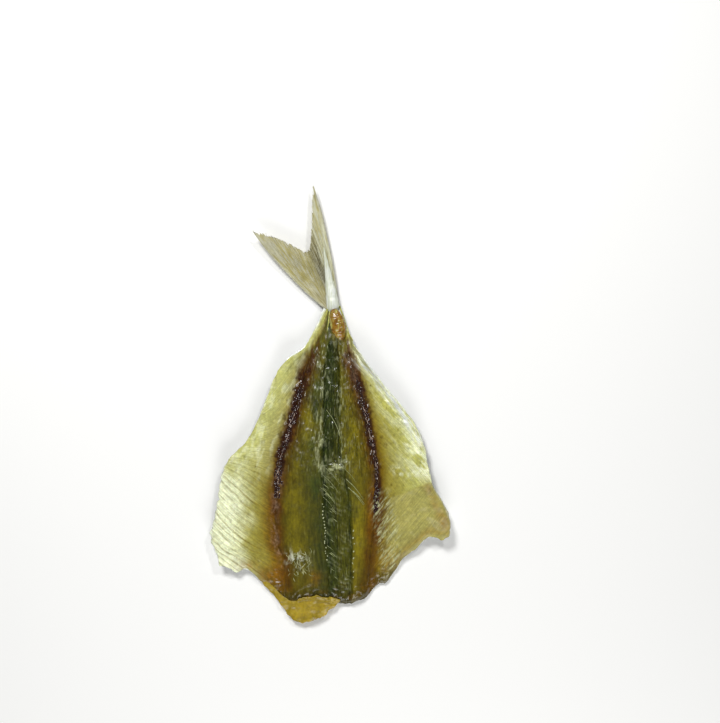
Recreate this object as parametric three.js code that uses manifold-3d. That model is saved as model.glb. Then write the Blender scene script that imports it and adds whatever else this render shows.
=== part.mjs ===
import * as THREE from 'three';
import { mergeVertices } from 'three/addons/utils/BufferGeometryUtils.js';
import Module from 'manifold-3d';

// A small sea fish without its head, slit along the belly, opened out flat and dried in one piece.
// It lies on its skin with the flesh up. Units are millimetres and +Z is up.
// +Y runs from the neck cut to the tail, +X is to the right, and Z = 0 is the surface it rests on.

// Trunk, measured from the back line, which runs along the middle of the opened fish
const trunkLength = 106;          // neck cut to the narrowest place of the tail stalk
const leftReach = 43;             // back line to the edge of the left belly flap
const rightReach = 40.5;          // back line to the edge of the right belly flap
const loinThickness = 5.4;        // thickest flesh beside the back line, at the neck
const stalkThickness = 3;         // flesh left at the tail stalk
const flapThickness = 1.7;        // belly flap beside the band of dark muscle
const edgeThickness = 0.9;        // dried outer edge of the flaps
const backGrooveWidth = 8.6;      // hollow along the back, where the backbone was taken out
const backGrooveDepth = 1.9;
const bandWidth = 2.8;            // ridge of dark muscle between loin and flap
const bandHeight = 0.7;
const stalkWidth = 4.2;

// How the flaps dried: flat under the loins, curling up from the surface towards their edges
const leftCurl = 4;
const rightCurl = 5.5;
const rearCurlShare = 0.6;        // the right flap curls less behind its front corner
const rimHeight = 2.4;            // upturned lip on the right edge, ahead of the tail
const rimStretch = [0.42, 0.6, 0.75, 0.95];        // where the lip begins, is full, fades and ends
const flatShare = 0.42;           // the skin lies flat this far out, as a share of each side's reach
const stalkLift = 1;              // the underside of the stalk clears the surface by this
const longWave = { height: 0.16, turns: 4.1 };     // slow cockle along the flaps, as a share of the curl
const shortWave = { height: 0.1, turns: 9.7 };     // quick cockle along the flaps

// Tail fin, a forked fan that leans to the left
const finLean = 29.5;             // degrees from +Y to the middle of the fork
const finSpread = 39.5;           // degrees between the tips of the two lobes
const leftLobeLength = 38;
const rightLobeLength = 41.5;
const forkLength = 20;            // fin root to the bottom of the fork
const finRootThickness = 2;
const finTipThickness = 0.8;
const finTipLift = 4.6;           // the lobes dried with their tips off the surface
const finRootInset = 6;           // the fin's rays start this far inside the stalk
const finRootShare = 0.46;        // half the fin's root over the stalk's width
const leftLobe = { length: leftLobeLength, narrowing: 1.2, bow: 0.92 };
const rightLobe = { length: rightLobeLength, narrowing: 2.2, bow: 0.74 };

// Torn strip of belly wall that sticks out past the neck cut
const stripWidth = 25;
const stripReach = 7.2;
const stripThickness = 1.3;
const stripCentre = -8;           // from the back line, to the left
const stripInset = 4;             // the strip starts this far inside the neck cut
const stripClearance = 0.3;       // under the strip's root
const stripRag = 0.12;            // how deep its edge is torn, as a share of its reach

// Edges of the trunk as shares: [distance from the neck over trunkLength, distance from the back over reach]
const leftEdge = [
  [0.115, 0.93], [0.2, 0.995], [0.33, 0.955], [0.46, 0.87], [0.57, 0.655],
  [0.7, 0.53], [0.79, 0.43], [0.85, 0.26], [0.92, 0.15],
];
const rightEdge = [
  [0.215, 0.985], [0.29, 0.995], [0.39, 0.86], [0.53, 0.78], [0.61, 0.68],
  [0.7, 0.495], [0.8, 0.28], [0.88, 0.15],
];
// The neck cut between the two front corners, left to right: [share of the side's reach, share of trunkLength]
const neckCut = [[-0.62, 0.085], [-0.36, -0.01], [0, 0], [0.3, 0.025], [0.56, 0.1], [0.78, 0.205]];

// Where the band of dark muscle runs, as a share of the way from the back to the edge
const leftBand = { neck: 0.5, tail: 0.64 };
const rightBand = { neck: 0.355, tail: 0.62 };

const rows = 44;                  // stations from the neck to the stalk
const grooveColumns = 4;
const loinColumns = 5;
const bandColumns = 4;
const flapColumns = 6;
const finRays = 16;
const finSteps = 10;
const stripColumns = 14;
const stripSteps = 5;

const wasm = await Module();
wasm.setup();

const mix = (a, b, share) => a + (b - a) * share;
const smooth = (low, high, value) => THREE.MathUtils.smoothstep(value, low, high);
const bell = (distance, width) => Math.exp(-((distance / width) ** 2));

// A closed body between an upper and a lower surface that share one grid of rows and columns.
// Rows run towards +Y and columns towards +X, so its faces point out.
function closedSheet(rowCount, columnCount, pointAt) {
  const positions = [];
  const index = [];
  const stride = columnCount + 1;
  const layer = stride * (rowCount + 1);
  for (const isTop of [true, false]) {
    for (let row = 0; row <= rowCount; row += 1) {
      for (let column = 0; column <= columnCount; column += 1) {
        positions.push(...pointAt(row / rowCount, column, isTop));
      }
    }
  }
  const quad = (a, b, c, d) => index.push(a, b, c, a, c, d);
  for (let row = 0; row < rowCount; row += 1) {
    for (let column = 0; column < columnCount; column += 1) {
      const corner = row * stride + column;
      quad(corner, corner + 1, corner + stride + 1, corner + stride);
      quad(layer + corner, layer + corner + stride, layer + corner + stride + 1, layer + corner + 1);
    }
  }
  for (let column = 0; column < columnCount; column += 1) {
    const last = rowCount * stride + column;
    quad(column, layer + column, layer + column + 1, column + 1);
    quad(last, last + 1, layer + last + 1, layer + last);
  }
  for (let row = 0; row < rowCount; row += 1) {
    const first = row * stride;
    const last = first + columnCount;
    quad(first, first + stride, layer + first + stride, layer + first);
    quad(last, layer + last, layer + last + stride, last + stride);
  }
  const geometry = new THREE.BufferGeometry();
  geometry.setAttribute('position', new THREE.Float32BufferAttribute(positions, 3));
  geometry.setIndex(index);
  return geometry;
}

function toSolid(geometry) {
  const merged = mergeVertices(geometry, 1e-5);
  return new wasm.Manifold(new wasm.Mesh({
    numProp: 3,
    vertProperties: new Float32Array(merged.attributes.position.array),
    triVerts: new Uint32Array(merged.index.array),
  }));
}

function toGeometry(solid) {
  const mesh = solid.getMesh();
  const geometry = new THREE.BufferGeometry();
  geometry.setAttribute('position', new THREE.BufferAttribute(new Float32Array(mesh.vertProperties), 3));
  geometry.setIndex(Array.from(mesh.triVerts));
  return geometry;
}

// Outline curves of the trunk, in X and Y
function edgeCurve(shares, reach, side) {
  const points = shares.map(([along, out]) => new THREE.Vector2(side * out * reach, along * trunkLength));
  points.push(new THREE.Vector2(side * stalkWidth / 2, trunkLength));
  return new THREE.SplineCurve(points);
}

const leftCurve = edgeCurve(leftEdge, leftReach, -1);
const rightCurve = edgeCurve(rightEdge, rightReach, 1);
const neckCurve = new THREE.SplineCurve([
  leftCurve.getPoint(0),
  ...neckCut.map(([out, along]) => new THREE.Vector2(
    out * (out < 0 ? leftReach : rightReach), along * trunkLength)),
  rightCurve.getPoint(0),
]);

// The trunk's plan: a patch between the left edge, the right edge, the neck cut and the stalk.
// across goes from 0 at the left edge to 1 at the right edge, along from 0 at the neck to 1 at the stalk.
function planPoint(along, across) {
  const left = leftCurve.getPointAt(along);
  const right = rightCurve.getPointAt(along);
  const neck = neckCurve.getPointAt(across);
  const leftCorner = leftCurve.getPoint(0);
  const rightCorner = rightCurve.getPoint(0);
  const sides = left.clone().lerp(right, across);
  const neckPull = neck.sub(leftCorner.clone().lerp(rightCorner, across));
  return sides.add(neckPull.multiplyScalar(1 - along));
}

// Columns crowd together where the section turns: the groove, the loin, the band and the flap
function sectionShares(band, reach) {
  const grooveEdge = backGrooveWidth / 2 / reach;
  const halfBand = bandWidth / reach;
  const stops = [
    [0, grooveEdge, grooveColumns],
    [grooveEdge, band - halfBand, loinColumns],
    [band - halfBand, band + halfBand, bandColumns],
    [band + halfBand, 1, flapColumns],
  ];
  const shares = [0];
  for (const [from, to, count] of stops) {
    for (let step = 1; step <= count; step += 1) {
      shares.push(mix(from, to, step / count));
    }
  }
  return shares;
}

const halfColumns = grooveColumns + loinColumns + bandColumns + flapColumns;

// Signed share across the trunk, -1 at the left edge and 1 at the right edge
function columnShare(along, column) {
  const side = column < halfColumns ? -1 : 1;
  const band = side < 0 ? leftBand : rightBand;
  const reach = side < 0 ? leftReach : rightReach;
  const shares = sectionShares(mix(band.neck, band.tail, along), reach);
  return side * shares[Math.abs(column - halfColumns)];
}

function trunkThickness(along, share) {
  const left = share < 0;
  const band = left ? leftBand : rightBand;
  const reach = left ? leftReach : rightReach;
  const out = Math.abs(share);
  const bandShare = mix(band.neck, band.tail, along);
  const flap = mix(flapThickness, edgeThickness, smooth(bandShare, 1, out));
  const stalkShare = smooth(0.55, 1, along);
  const flesh = mix(loinThickness, stalkThickness, along) - flapThickness;
  const loin = flesh * Math.sqrt(Math.max(0, 1 - (out / bandShare) ** 2));
  const grooveShare = backGrooveWidth / 2 / reach;
  const groove = Math.min(backGrooveDepth, flesh) * bell(out, grooveShare) * (1 - stalkShare);
  const ridge = bandHeight * bell(out - bandShare, bandWidth / 2 / reach) * (1 - stalkShare);
  return flap + loin - groove + ridge;
}

// Height of the skin over the surface: flat under the loins, rising outwards under the flaps
function trunkLift(along, share) {
  const left = share < 0;
  const out = Math.abs(share);
  const curl = left ? leftCurl : rightCurl * mix(1, rearCurlShare, smooth(0.2, 0.6, along));
  const turn = 2 * Math.PI * along;
  const cockle = longWave.height * Math.sin(longWave.turns * turn + (left ? 0 : 2))
    + shortWave.height * Math.sin(shortWave.turns * turn);
  const nearStalk = smooth(0.7, 1, along);
  const rise = curl * (1 + cockle) * smooth(flatShare, 1.15, out) * (1 - nearStalk);
  const [begin, full, fade, end] = rimStretch;
  const rimShare = left ? 0 : smooth(begin, full, along) * (1 - smooth(fade, end, along));
  const rim = rimHeight * rimShare * smooth(0.8, 1, out);
  return rise + rim + stalkLift * smooth(0.8, 1, along);
}

function makeTrunk() {
  const columns = 2 * halfColumns;
  return closedSheet(rows, columns, (along, column, isTop) => {
    const share = columnShare(along, column);
    const plan = planPoint(along, (1 + share) / 2);
    const skin = trunkLift(along, share);
    return [plan.x, plan.y, isTop ? skin + trunkThickness(along, share) : skin];
  });
}

// A point at a distance from the tail stalk, in a direction turned from +Y towards the left
function fromStalk(degrees, distance) {
  const angle = THREE.MathUtils.degToRad(90 + degrees);
  return new THREE.Vector2(distance * Math.cos(angle), trunkLength + distance * Math.sin(angle));
}

// One ray of the tail fin, bowed outwards; fan is 1 at the left lobe's edge and -1 at the right lobe's
function finRay(fan) {
  const lobe = fan < 0 ? rightLobe : leftLobe;
  const length = mix(forkLength, lobe.length, Math.abs(fan) ** lobe.narrowing);
  const start = new THREE.Vector2(-fan * stalkWidth * finRootShare, trunkLength - finRootInset);
  const bow = fromStalk(finLean + fan * finSpread * lobe.bow, length / 2);
  const tip = fromStalk(finLean + fan * finSpread / 2, length);
  return new THREE.QuadraticBezierCurve(start, bow, tip);
}

// The tail fin is a thin fan of rays, thickest where it grows out of the stalk
function makeTailFin() {
  return closedSheet(finSteps, finRays, (along, column, isTop) => {
    const point = finRay(1 - 2 * column / finRays).getPoint(along);
    const middle = mix(stalkLift + stalkThickness / 2, finTipLift, along);
    const half = mix(finRootThickness, finTipThickness, Math.sqrt(along)) / 2;
    return [point.x, point.y, isTop ? middle + half : middle - half];
  });
}

// Where the neck cut runs at a distance from the back line
function neckCutAt(x) {
  let low = 0;
  let high = 1;
  for (let halving = 0; halving < 30; halving += 1) {
    const middle = (low + high) / 2;
    if (neckCurve.getPointAt(middle).x < x) {
      low = middle;
    } else {
      high = middle;
    }
  }
  return neckCurve.getPointAt(low).y;
}

// The torn strip grows out of the neck cut and ends in a rounded, ragged tongue
function makeTornStrip() {
  return closedSheet(stripSteps, stripColumns, (along, column, isTop) => {
    const across = column / stripColumns;
    const tongue = Math.sin(Math.PI * mix(0.04, 0.96, across)) ** 0.6;
    const rag = 1 + stripRag * Math.sin(6 * Math.PI * across);
    const x = stripCentre + stripWidth * (across - 0.5);
    const y = neckCutAt(x) + mix(-stripReach * tongue * rag, stripInset, along);
    const bottom = stripClearance * (3 - 2 * along);
    return [x, y, isTop ? bottom + stripThickness : bottom];
  });
}

const pieces = [makeTrunk(), makeTailFin(), makeTornStrip()].map(toSolid);
const whole = pieces.reduce((sum, piece) => sum.add(piece));
const fishGeometry = toGeometry(whole);

// The origin is at the bottom centre of the fish's box
fishGeometry.computeBoundingBox();
const box = fishGeometry.boundingBox;
fishGeometry.translate(-(box.min.x + box.max.x) / 2, -(box.min.y + box.max.y) / 2, -box.min.z);

const driedFlesh = new THREE.MeshStandardMaterial({
  name: 'dried_flesh',
  color: new THREE.Color(0.62, 0.56, 0.25),
  roughness: 0.45,
  metalness: 0,
});

const driedFish = new THREE.Mesh(fishGeometry, driedFlesh);
driedFish.name = 'dried_fish';

const group = new THREE.Group();
group.add(driedFish);

export default group;
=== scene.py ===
import bpy
import numpy as np
from bpy.props import FloatProperty, FloatVectorProperty, IntProperty, PointerProperty
from bpy.types import Operator, Panel, PropertyGroup
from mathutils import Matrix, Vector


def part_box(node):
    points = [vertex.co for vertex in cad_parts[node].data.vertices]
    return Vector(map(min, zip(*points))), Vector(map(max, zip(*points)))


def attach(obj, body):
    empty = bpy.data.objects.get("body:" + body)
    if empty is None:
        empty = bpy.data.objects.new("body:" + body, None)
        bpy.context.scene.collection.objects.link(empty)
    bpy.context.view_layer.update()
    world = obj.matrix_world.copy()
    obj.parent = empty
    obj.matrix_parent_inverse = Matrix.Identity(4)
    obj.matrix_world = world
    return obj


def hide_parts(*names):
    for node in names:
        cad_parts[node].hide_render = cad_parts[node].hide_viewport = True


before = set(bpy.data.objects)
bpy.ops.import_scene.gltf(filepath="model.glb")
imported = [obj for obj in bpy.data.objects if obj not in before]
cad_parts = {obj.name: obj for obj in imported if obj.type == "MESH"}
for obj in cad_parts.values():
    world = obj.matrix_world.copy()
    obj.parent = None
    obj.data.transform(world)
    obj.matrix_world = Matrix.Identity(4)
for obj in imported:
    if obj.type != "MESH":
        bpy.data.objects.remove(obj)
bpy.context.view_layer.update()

# Lengths in the working code are millimetres from the back line (x), from the neck cut (y) and from the
# surface that the fish lies on (z). They become metres in the frame's axes where a mesh is made.

bl_info = {
    "name": "Dried Split Fish",
    "version": (1, 0, 0),
    "blender": (4, 5, 0),
    "location": "View3D > Sidebar > Dried Fish",
    "description": "Builds a headless fish that was slit, opened flat and dried, round its frame",
    "category": "Object",
}

NODE = "dried_fish"
BODY = "root"
MM = 0.001
LOW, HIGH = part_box(NODE)
STRIP_OVERHANG = 8.2     # the torn strip's tip lies this far in front of the neck cut
BACK_OFFSET = 1.2        # the back line lies this far right of the middle of the box
ORIGIN = np.array([(LOW.x + HIGH.x) / 2 / MM + BACK_OFFSET, LOW.y / MM + STRIP_OVERHANG, LOW.z / MM])
TRUNK_LENGTH = 106.0     # neck cut to tail stalk
EDGE_POINTS = 800        # points along each smoothed edge

# Outline of the opened trunk, (x, y), from the neck's corners to the tail stalk
LEFT_EDGE = [
    (-40.6, 12.6), (-41.2, 17.8), (-43.2, 21.9), (-42.2, 28.5), (-40.8, 36.0), (-39.6, 43.0), (-37.2, 50.2),
    (-31.2, 57.0), (-27.2, 64.2), (-22.8, 74.8), (-20.4, 81.2), (-16.6, 85.6), (-11.4, 89.2), (-7.2, 95.9),
    (-4.2, 102.5), (-2.6, 106.5),
]
RIGHT_EDGE = [
    (40.5, 23.8), (41.1, 28.0), (40.1, 31.4), (38.2, 35.6), (34.9, 41.4), (33.1, 49.6), (31.2, 57.1),
    (27.9, 64.2), (21.9, 71.4), (16.6, 78.3), (10.8, 85.4), (6.5, 92.4), (3.3, 99.5), (1.8, 106.5),
]
NECK_CUT = [
    (-40.6, 12.6), (-37.2, 12.2), (-34.4, 10.4), (-31.4, 11.9), (-28.6, 9.6), (-25.6, 6.6), (-22.0, 4.9),
    (-18.6, 2.0), (-15.4, -0.2), (-9.0, 0.4), (-4.0, -0.2), (1.5, -0.8), (7.4, -0.2), (11.6, 1.8),
    (14.8, 5.6), (18.4, 6.6), (21.2, 10.4), (24.2, 14.9), (28.6, 18.6), (33.4, 23.2), (37.2, 22.4),
    (40.5, 23.8),
]
# Lines that run along the fish, (x, y), neck to tail
BACK_LINE = [
    (1.8, 0), (1.6, 10), (0.9, 34), (-0.3, 50), (0.0, 60), (0.4, 75), (0.3, 84), (-0.6, 93), (-0.4, 107),
]
LEFT_BAND = [
    (-17.2, 0), (-17.9, 14), (-20.2, 20), (-20.9, 30), (-20.2, 39), (-19.0, 50), (-16.9, 57), (-14.9, 64),
    (-12.9, 71), (-11.2, 78), (-8.6, 86), (-5.6, 92), (-2.6, 99), (-1.6, 107),
]
RIGHT_BAND = [
    (12.2, 0), (12.8, 12), (14.0, 24), (14.7, 34), (15.2, 42), (14.7, 50), (13.2, 57), (11.6, 64),
    (9.9, 71), (8.0, 79), (6.0, 86), (4.2, 92), (2.2, 99), (1.2, 107),
]
LEFT_RIDGE = [
    (-2.0, 0), (-2.2, 8), (-3.0, 20), (-3.9, 34), (-4.6, 45), (-4.3, 60), (-4.0, 72), (-3.4, 83),
    (-2.2, 90), (-0.9, 95), (-0.6, 107),
]
RIGHT_RIDGE = [
    (6.2, 0), (6.6, 10), (6.8, 20), (6.2, 33), (4.4, 45), (2.9, 55), (2.2, 63), (2.1, 83), (1.4, 90),
    (0.5, 95), (0.4, 107),
]
LINING_EDGE = [
    (14.0, 24), (16.2, 33.0), (21.0, 36.8), (25.1, 38.9), (29.8, 41.2), (35.0, 42.4), (38.2, 39.0),
    (41.6, 33.0),
]


# ---------------------------------------------------------------- sums on curves and noise

def smooth(low, high, value):
    """0 below low, 1 above high, and an even rise between."""
    share = np.clip((value - low) / (high - low), 0, 1)
    return share * share * (3 - 2 * share)


def window(low, high, soft, value):
    """1 between low and high, fading over soft on both sides."""
    return smooth(low - soft, low + soft, value) * (1 - smooth(high - soft, high + soft, value))


def bell(distance, width):
    """1 at no distance, falling away smoothly over about a width."""
    return np.exp(-((distance / width) ** 2))


def resample(line, count):
    """count points at even steps along a line of points."""
    steps = np.r_[0, np.cumsum(np.linalg.norm(np.diff(line, axis=0), axis=1))]
    at = np.linspace(0, steps[-1], count)
    return np.stack([np.interp(at, steps, line[:, axis]) for axis in range(line.shape[1])], 1)


def smooth_curve(points, count):
    """A smooth curve through the points, with count points at even steps."""
    knots = np.array(points, float)
    knots = np.vstack([2 * knots[0] - knots[1], knots, 2 * knots[-1] - knots[-2]])
    share = np.linspace(0, 1, 24, endpoint=False)[:, None]
    spans = []
    for a, b, c, d in zip(knots, knots[1:], knots[2:], knots[3:]):
        bend = (2 * a - 5 * b + 4 * c - d) * share**2 + (3 * b - a - 3 * c + d) * share**3
        spans.append(0.5 * (2 * b + (c - a) * share + bend))
    return resample(np.vstack(spans + [knots[-2:-1]]), count)


def line_x(points, y):
    """x of a line that runs along the fish, at y."""
    curve = smooth_curve(points, 200)
    return np.interp(y, curve[:, 1], curve[:, 0])


def lining_top(x):
    """y of the upper edge of the lining on the right flap, at x."""
    curve = smooth_curve(LINING_EDGE, 120)
    return np.interp(x, curve[:, 0], curve[:, 1])


def noise(x, y, size, seed, octaves=3):
    """Smooth noise from -1 to 1 whose largest lumps are about size across."""
    total, weight, reach = 0.0, 1.0, 0.0
    for octave in range(octaves):
        table = np.random.default_rng(seed + octave).uniform(-1, 1, (256, 256))
        u = x / size * 2**octave + 31.7 * (octave + 1)
        v = y / size * 2**octave + 57.3 * (octave + 1)
        i, j = np.floor(u).astype(int), np.floor(v).astype(int)
        fu, fv = smooth(0, 1, u - i), smooth(0, 1, v - j)
        i0, i1, j0, j1 = i % 256, (i + 1) % 256, j % 256, (j + 1) % 256
        near = table[i0, j0] * (1 - fu) + table[i1, j0] * fu
        far = table[i0, j1] * (1 - fu) + table[i1, j1] * fu
        total = total + weight * (near * (1 - fv) + far * fv)
        reach += weight
        weight *= 0.5
    return total / reach * 1.6


# ---------------------------------------------------------------- sizes and colours

def length(name, description, millimetres):
    return FloatProperty(
        name=name, description=description, default=millimetres * MM, min=0.0, unit="LENGTH")


def tint(name, description, rgb):
    """A colour property whose default is given as 0 to 255 display values."""
    shares = [value / 255 for value in rgb]
    linear = [s / 12.92 if s <= 0.04045 else ((s + 0.055) / 1.055) ** 2.4 for s in shares]
    return FloatVectorProperty(
        name=name, description=description, default=linear, min=0.0, max=1.0, size=3, subtype="COLOR")


class FishSizes(PropertyGroup):
    loin_height: length("Loin height", "Thickest flesh beside the back, above the flaps", 3.9)
    flap_thickness: length("Flap thickness", "Belly flap beside the band of dark muscle", 1.25)
    edge_thickness: length("Edge thickness", "Dried outer edge of the flaps", 0.45)
    skin_thickness: length("Skin thickness", "The skin under the flesh", 0.35)
    skin_gap: length("Skin gap", "Room under the skin for the scales and the folded back fin", 0.45)
    groove_depth: length("Back groove depth", "Hollow where the backbone was taken out", 1.5)
    band_width: length("Band width", "Half the width of the band of dark muscle", 1.25)
    band_height: length("Band height", "How far the dried dark muscle stands up", 0.75)
    left_curl: length("Left curl", "How far the left flap curls up from the surface", 4.0)
    right_curl: length("Right curl", "How far the right flap curls up from the surface", 5.5)
    rim_height: length("Rim height", "Upturned lip on the right edge", 2.4)
    scale_size: length("Scale size", "Width of one scale of the skin", 2.0)
    ray_thickness: length("Fin ray thickness", "Thickness of a tail fin ray at its root", 0.34)
    spine_thickness: length("Spine thickness", "Thickness of a dorsal spine at its root", 0.5)


class FishColours(PropertyGroup):
    loin: tint("Loin", "Olive flesh of the loins", (86, 78, 14))
    loin_gold: tint("Golden loin", "Where the loins dried thinner", (126, 115, 18))
    green: tint("Green flesh", "Flesh beside the back groove", (62, 74, 26))
    # Also the colour of the painted shade and painted shadows in and beside the groove.
    groove: tint("Groove", "Dark green floor of the back groove", (26, 36, 12))
    band: tint("Dark muscle", "Glossy band of dark muscle", (46, 18, 14))
    crust: tint("Muscle crust", "Lumps that stand up on the dark muscle", (44, 22, 20))
    # Pale colour of the muscle threads: painted highlight for the glints along the band's ridge.
    thread: tint("Muscle thread", "Pale glossy threads on the dark muscle", (196, 174, 160))
    shred: tint("Shred", "Wet shreds of torn lining", (186, 186, 140))
    stain: tint("Stain", "Brown oil stain round the dark muscle", (82, 48, 4))
    # Darker flesh along the neck cut: dried flesh, with painted shadow along the edge.
    cut: tint("Cut edge", "Dark dried flesh along the neck cut", (58, 46, 8))
    pale_band_streak: tint("Dried film", "Greyish film on the dark muscle", (150, 122, 98))
    # Pale greyish streaks on the ends of the bands.
    flap: tint("Flap", "Belly flap beside the band", (128, 110, 14))
    flap_pale: tint("Pale flap", "Middle of the belly flaps", (184, 184, 98))
    cream: tint("Cream edge", "Outer belly wall", (242, 248, 208))
    amber: tint("Amber", "Oily edges that dried orange", (146, 94, 8))
    lining: tint("Belly lining", "Thin lining over the right flap", (164, 157, 84))
    # Pale sinews and rib stumps, and also the colour of the painted glints laid with the sinews on the
    # flesh.
    sinew: tint("Sinew", "Pale sinews and rib stumps", (186, 190, 146))
    dull: tint("Dull sinew", "Fine sinews sunk in the flesh", (166, 172, 122))
    silver: tint("Silver", "Bright silvery skin", (226, 230, 222))
    skin: tint("Skin", "Grey flank of the skin", (150, 156, 148))
    skin_blue: tint("Blue sheen", "Blue sheen of the skin near the back", (104, 128, 150))
    skin_dark: tint("Back skin", "Dark skin along the back", (44, 50, 54))
    fin: tint("Fin", "Membrane of the tail fin", (182, 172, 106))
    fin_dark: tint("Folded fin", "Brown folds where the lobes of the tail fin meet", (90, 82, 54))
    lobe: tint("Silvery lobe", "Silvery side of the folded lobe and the root", (200, 206, 184))
    ray: tint("Fin ray", "Rays of the fins", (188, 186, 160))
    bone: tint("Tail bone", "Stump of the backbone in the tail stalk", (138, 100, 28))
    strip: tint("Torn strip", "Strip of belly wall at the neck", (156, 134, 30))
    floor: tint("Floor", "Plain pale floor", (246, 246, 244))


def colours():
    return bpy.context.scene.fish_colours


# ---------------------------------------------------------------- the trunk's plan and section

class Trunk:
    """The opened trunk, from its edge curves and the named sizes, here in millimetres. along runs 0 to 1
    from neck to stalk, across runs 0 to 1 from the left edge to the right edge."""

    def __init__(self):
        for name in FishSizes.__annotations__:
            setattr(self, name, getattr(bpy.context.scene.fish_sizes, name) / MM)
        self.at = np.linspace(0, 1, EDGE_POINTS)
        self.left = smooth_curve(LEFT_EDGE, EDGE_POINTS)
        self.right = smooth_curve(RIGHT_EDGE, EDGE_POINTS)
        self.neck = smooth_curve(NECK_CUT, EDGE_POINTS)

    def plan(self, along, across, margin=0.0):
        """x and y of a place in the trunk. margin pushes the edges out, for the skin."""
        edges = (edge[:, axis] for edge in (self.left, self.right) for axis in (0, 1))
        xl, yl, xr, yr = (np.interp(along, self.at, edge) for edge in edges)
        teeth = 0.7 * window(16, 50, 3, yl) * np.abs(np.sin(np.pi * yl / 3.3)) ** 0.7
        calm = 1 - smooth(92, 101, yl)
        xl = xl - calm * (0.35 * noise(yl, 0 * yl, 2.4, 11) + teeth - 0.4) - margin * calm
        xr = xr + calm * 0.4 * noise(yr, 0 * yr, 2.2, 17) + margin * calm
        x = xl + (xr - xl) * across
        base = self.left[0, 1] + (self.right[0, 1] - self.left[0, 1]) * across
        x_neck = self.left[0, 0] + (self.right[0, 0] - self.left[0, 0]) * across
        pull = np.interp(x_neck, self.neck[:, 0], self.neck[:, 1]) - base
        rag = 0.5 * noise(x_neck, 0 * x_neck, 1.8, 23) - margin
        y = yl + (yr - yl) * across + pull * (1 - along) ** 1.1 + rag * np.exp(-along * 22)
        return x, y

    def lie(self, along, across, y):
        """Height of the skin's underside: flat under the loins and rising under the flaps."""
        share = 2 * across - 1
        left = share < 0
        out = np.abs(share)
        turn = 2 * np.pi * along
        cockle = 0.16 * np.sin(4.1 * turn + np.where(left, 0, 2)) + 0.1 * np.sin(9.7 * turn)
        curl = np.where(left, self.left_curl, self.right_curl * (1 - 0.4 * smooth(0.2, 0.6, along)))
        rise = curl * (1 + cockle) * smooth(0.42, 1.15, out) * (1 - smooth(0.7, 1, along))
        rim_stretch = smooth(0.42, 0.6, along) * (1 - smooth(0.75, 0.95, along))
        rim = np.where(left, 0, self.rim_height * rim_stretch * smooth(0.86, 1, out) ** 1.4)
        ripple = np.sin(2 * np.pi * (y - np.where(left, 28, -38) * out) / 5.3)
        ribs = 0.10 * ripple * smooth(0.6, 0.95, out) * (1 - smooth(0.45, 0.65, along))
        return self.skin_gap + rise + rim + ribs + smooth(0.8, 1, along)

    def seat(self, along, across, y):
        """Height of the flesh's underside, sunk a little into the skin."""
        return self.lie(along, across, y) + self.skin_thickness * 0.9

    def zones(self, x, y, along):
        """Where a place lies among the lines of the fish, as millimetres and as shares from 0 to 1."""
        back = line_x(BACK_LINE, y)
        left = x < back
        band = np.where(left, line_x(LEFT_BAND, y), line_x(RIGHT_BAND, y))
        left_ridge, right_ridge = line_x(LEFT_RIDGE, y), line_x(RIGHT_RIDGE, y)
        xl, xr = (np.interp(along, self.at, edge[:, 0]) for edge in (self.left, self.right))
        outward = np.where(left, -1, 1)
        width = np.maximum(np.where(left, band - xl, xr - band), 0.5)
        off = (x - band) * outward + 0.45 * noise(x, y, 3.0, 31)
        soft = 1.1 + 0.5 * noise(x, y / 3, 1.6, 33)
        from_left = x - left_ridge + 0.5 * noise(x, y / 2, 2.0, 35)
        from_right = right_ridge - x + 0.5 * noise(x, y / 2, 2.0, 37)
        return {
            "left": left,
            "band": band,
            "back": back,
            "left_ridge": left_ridge,
            "to_band": np.abs(x - back) / np.maximum(np.abs(band - back), 0.3),
            "flap": np.clip((x - band) * outward / width, 0, 1),
            "off": off,
            "from_left": from_left,
            "from_right": from_right,
            "gut": smooth(-0.6, soft, from_left) * smooth(-0.6, soft, from_right) * (1 - smooth(89, 94, y)),
            "neck_gap": y - np.interp(x, self.neck[:, 0], self.neck[:, 1]),
            "side_gap": np.minimum(x - xl, xr - x),
            "lining": self.lining(x, y),
        }

    @staticmethod
    def lining(x, y):
        """The smooth thin lining that still covers the lower corner of the right flap."""
        top = lining_top(x) + 0.35 * noise(x, y, 2.2, 39)
        return smooth(-0.5, 0.5, top - y) * smooth(15.5, 21.0, x + 0.9 * noise(x, y, 2.0, 43))

    def band_strength(self, left, y):
        """How dark and thick the band of dark muscle is along the fish."""
        on_left = 0.3 * window(10, 90, 4, y) + 0.7 * smooth(34, 50, y) * (1 - smooth(73, 85, y))
        on_right = 0.3 * window(10, 90, 4, y) + 0.7 * smooth(28, 40, y) * (1 - smooth(70, 83, y))
        return np.where(left, on_left, on_right)

    def band_reach(self, left, y):
        """Half the width of the band of dark muscle."""
        on_left = np.interp(y, [0, 40, 60, 76, 88, 100], [0.8, 1.05, 1.55, 1.75, 1.3, 0.6])
        on_right = np.interp(y, [0, 40, 60, 78, 90, 100], [0.6, 0.9, 1.2, 1.4, 1.3, 0.6])
        return self.band_width * np.where(left, on_left, on_right)

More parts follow.
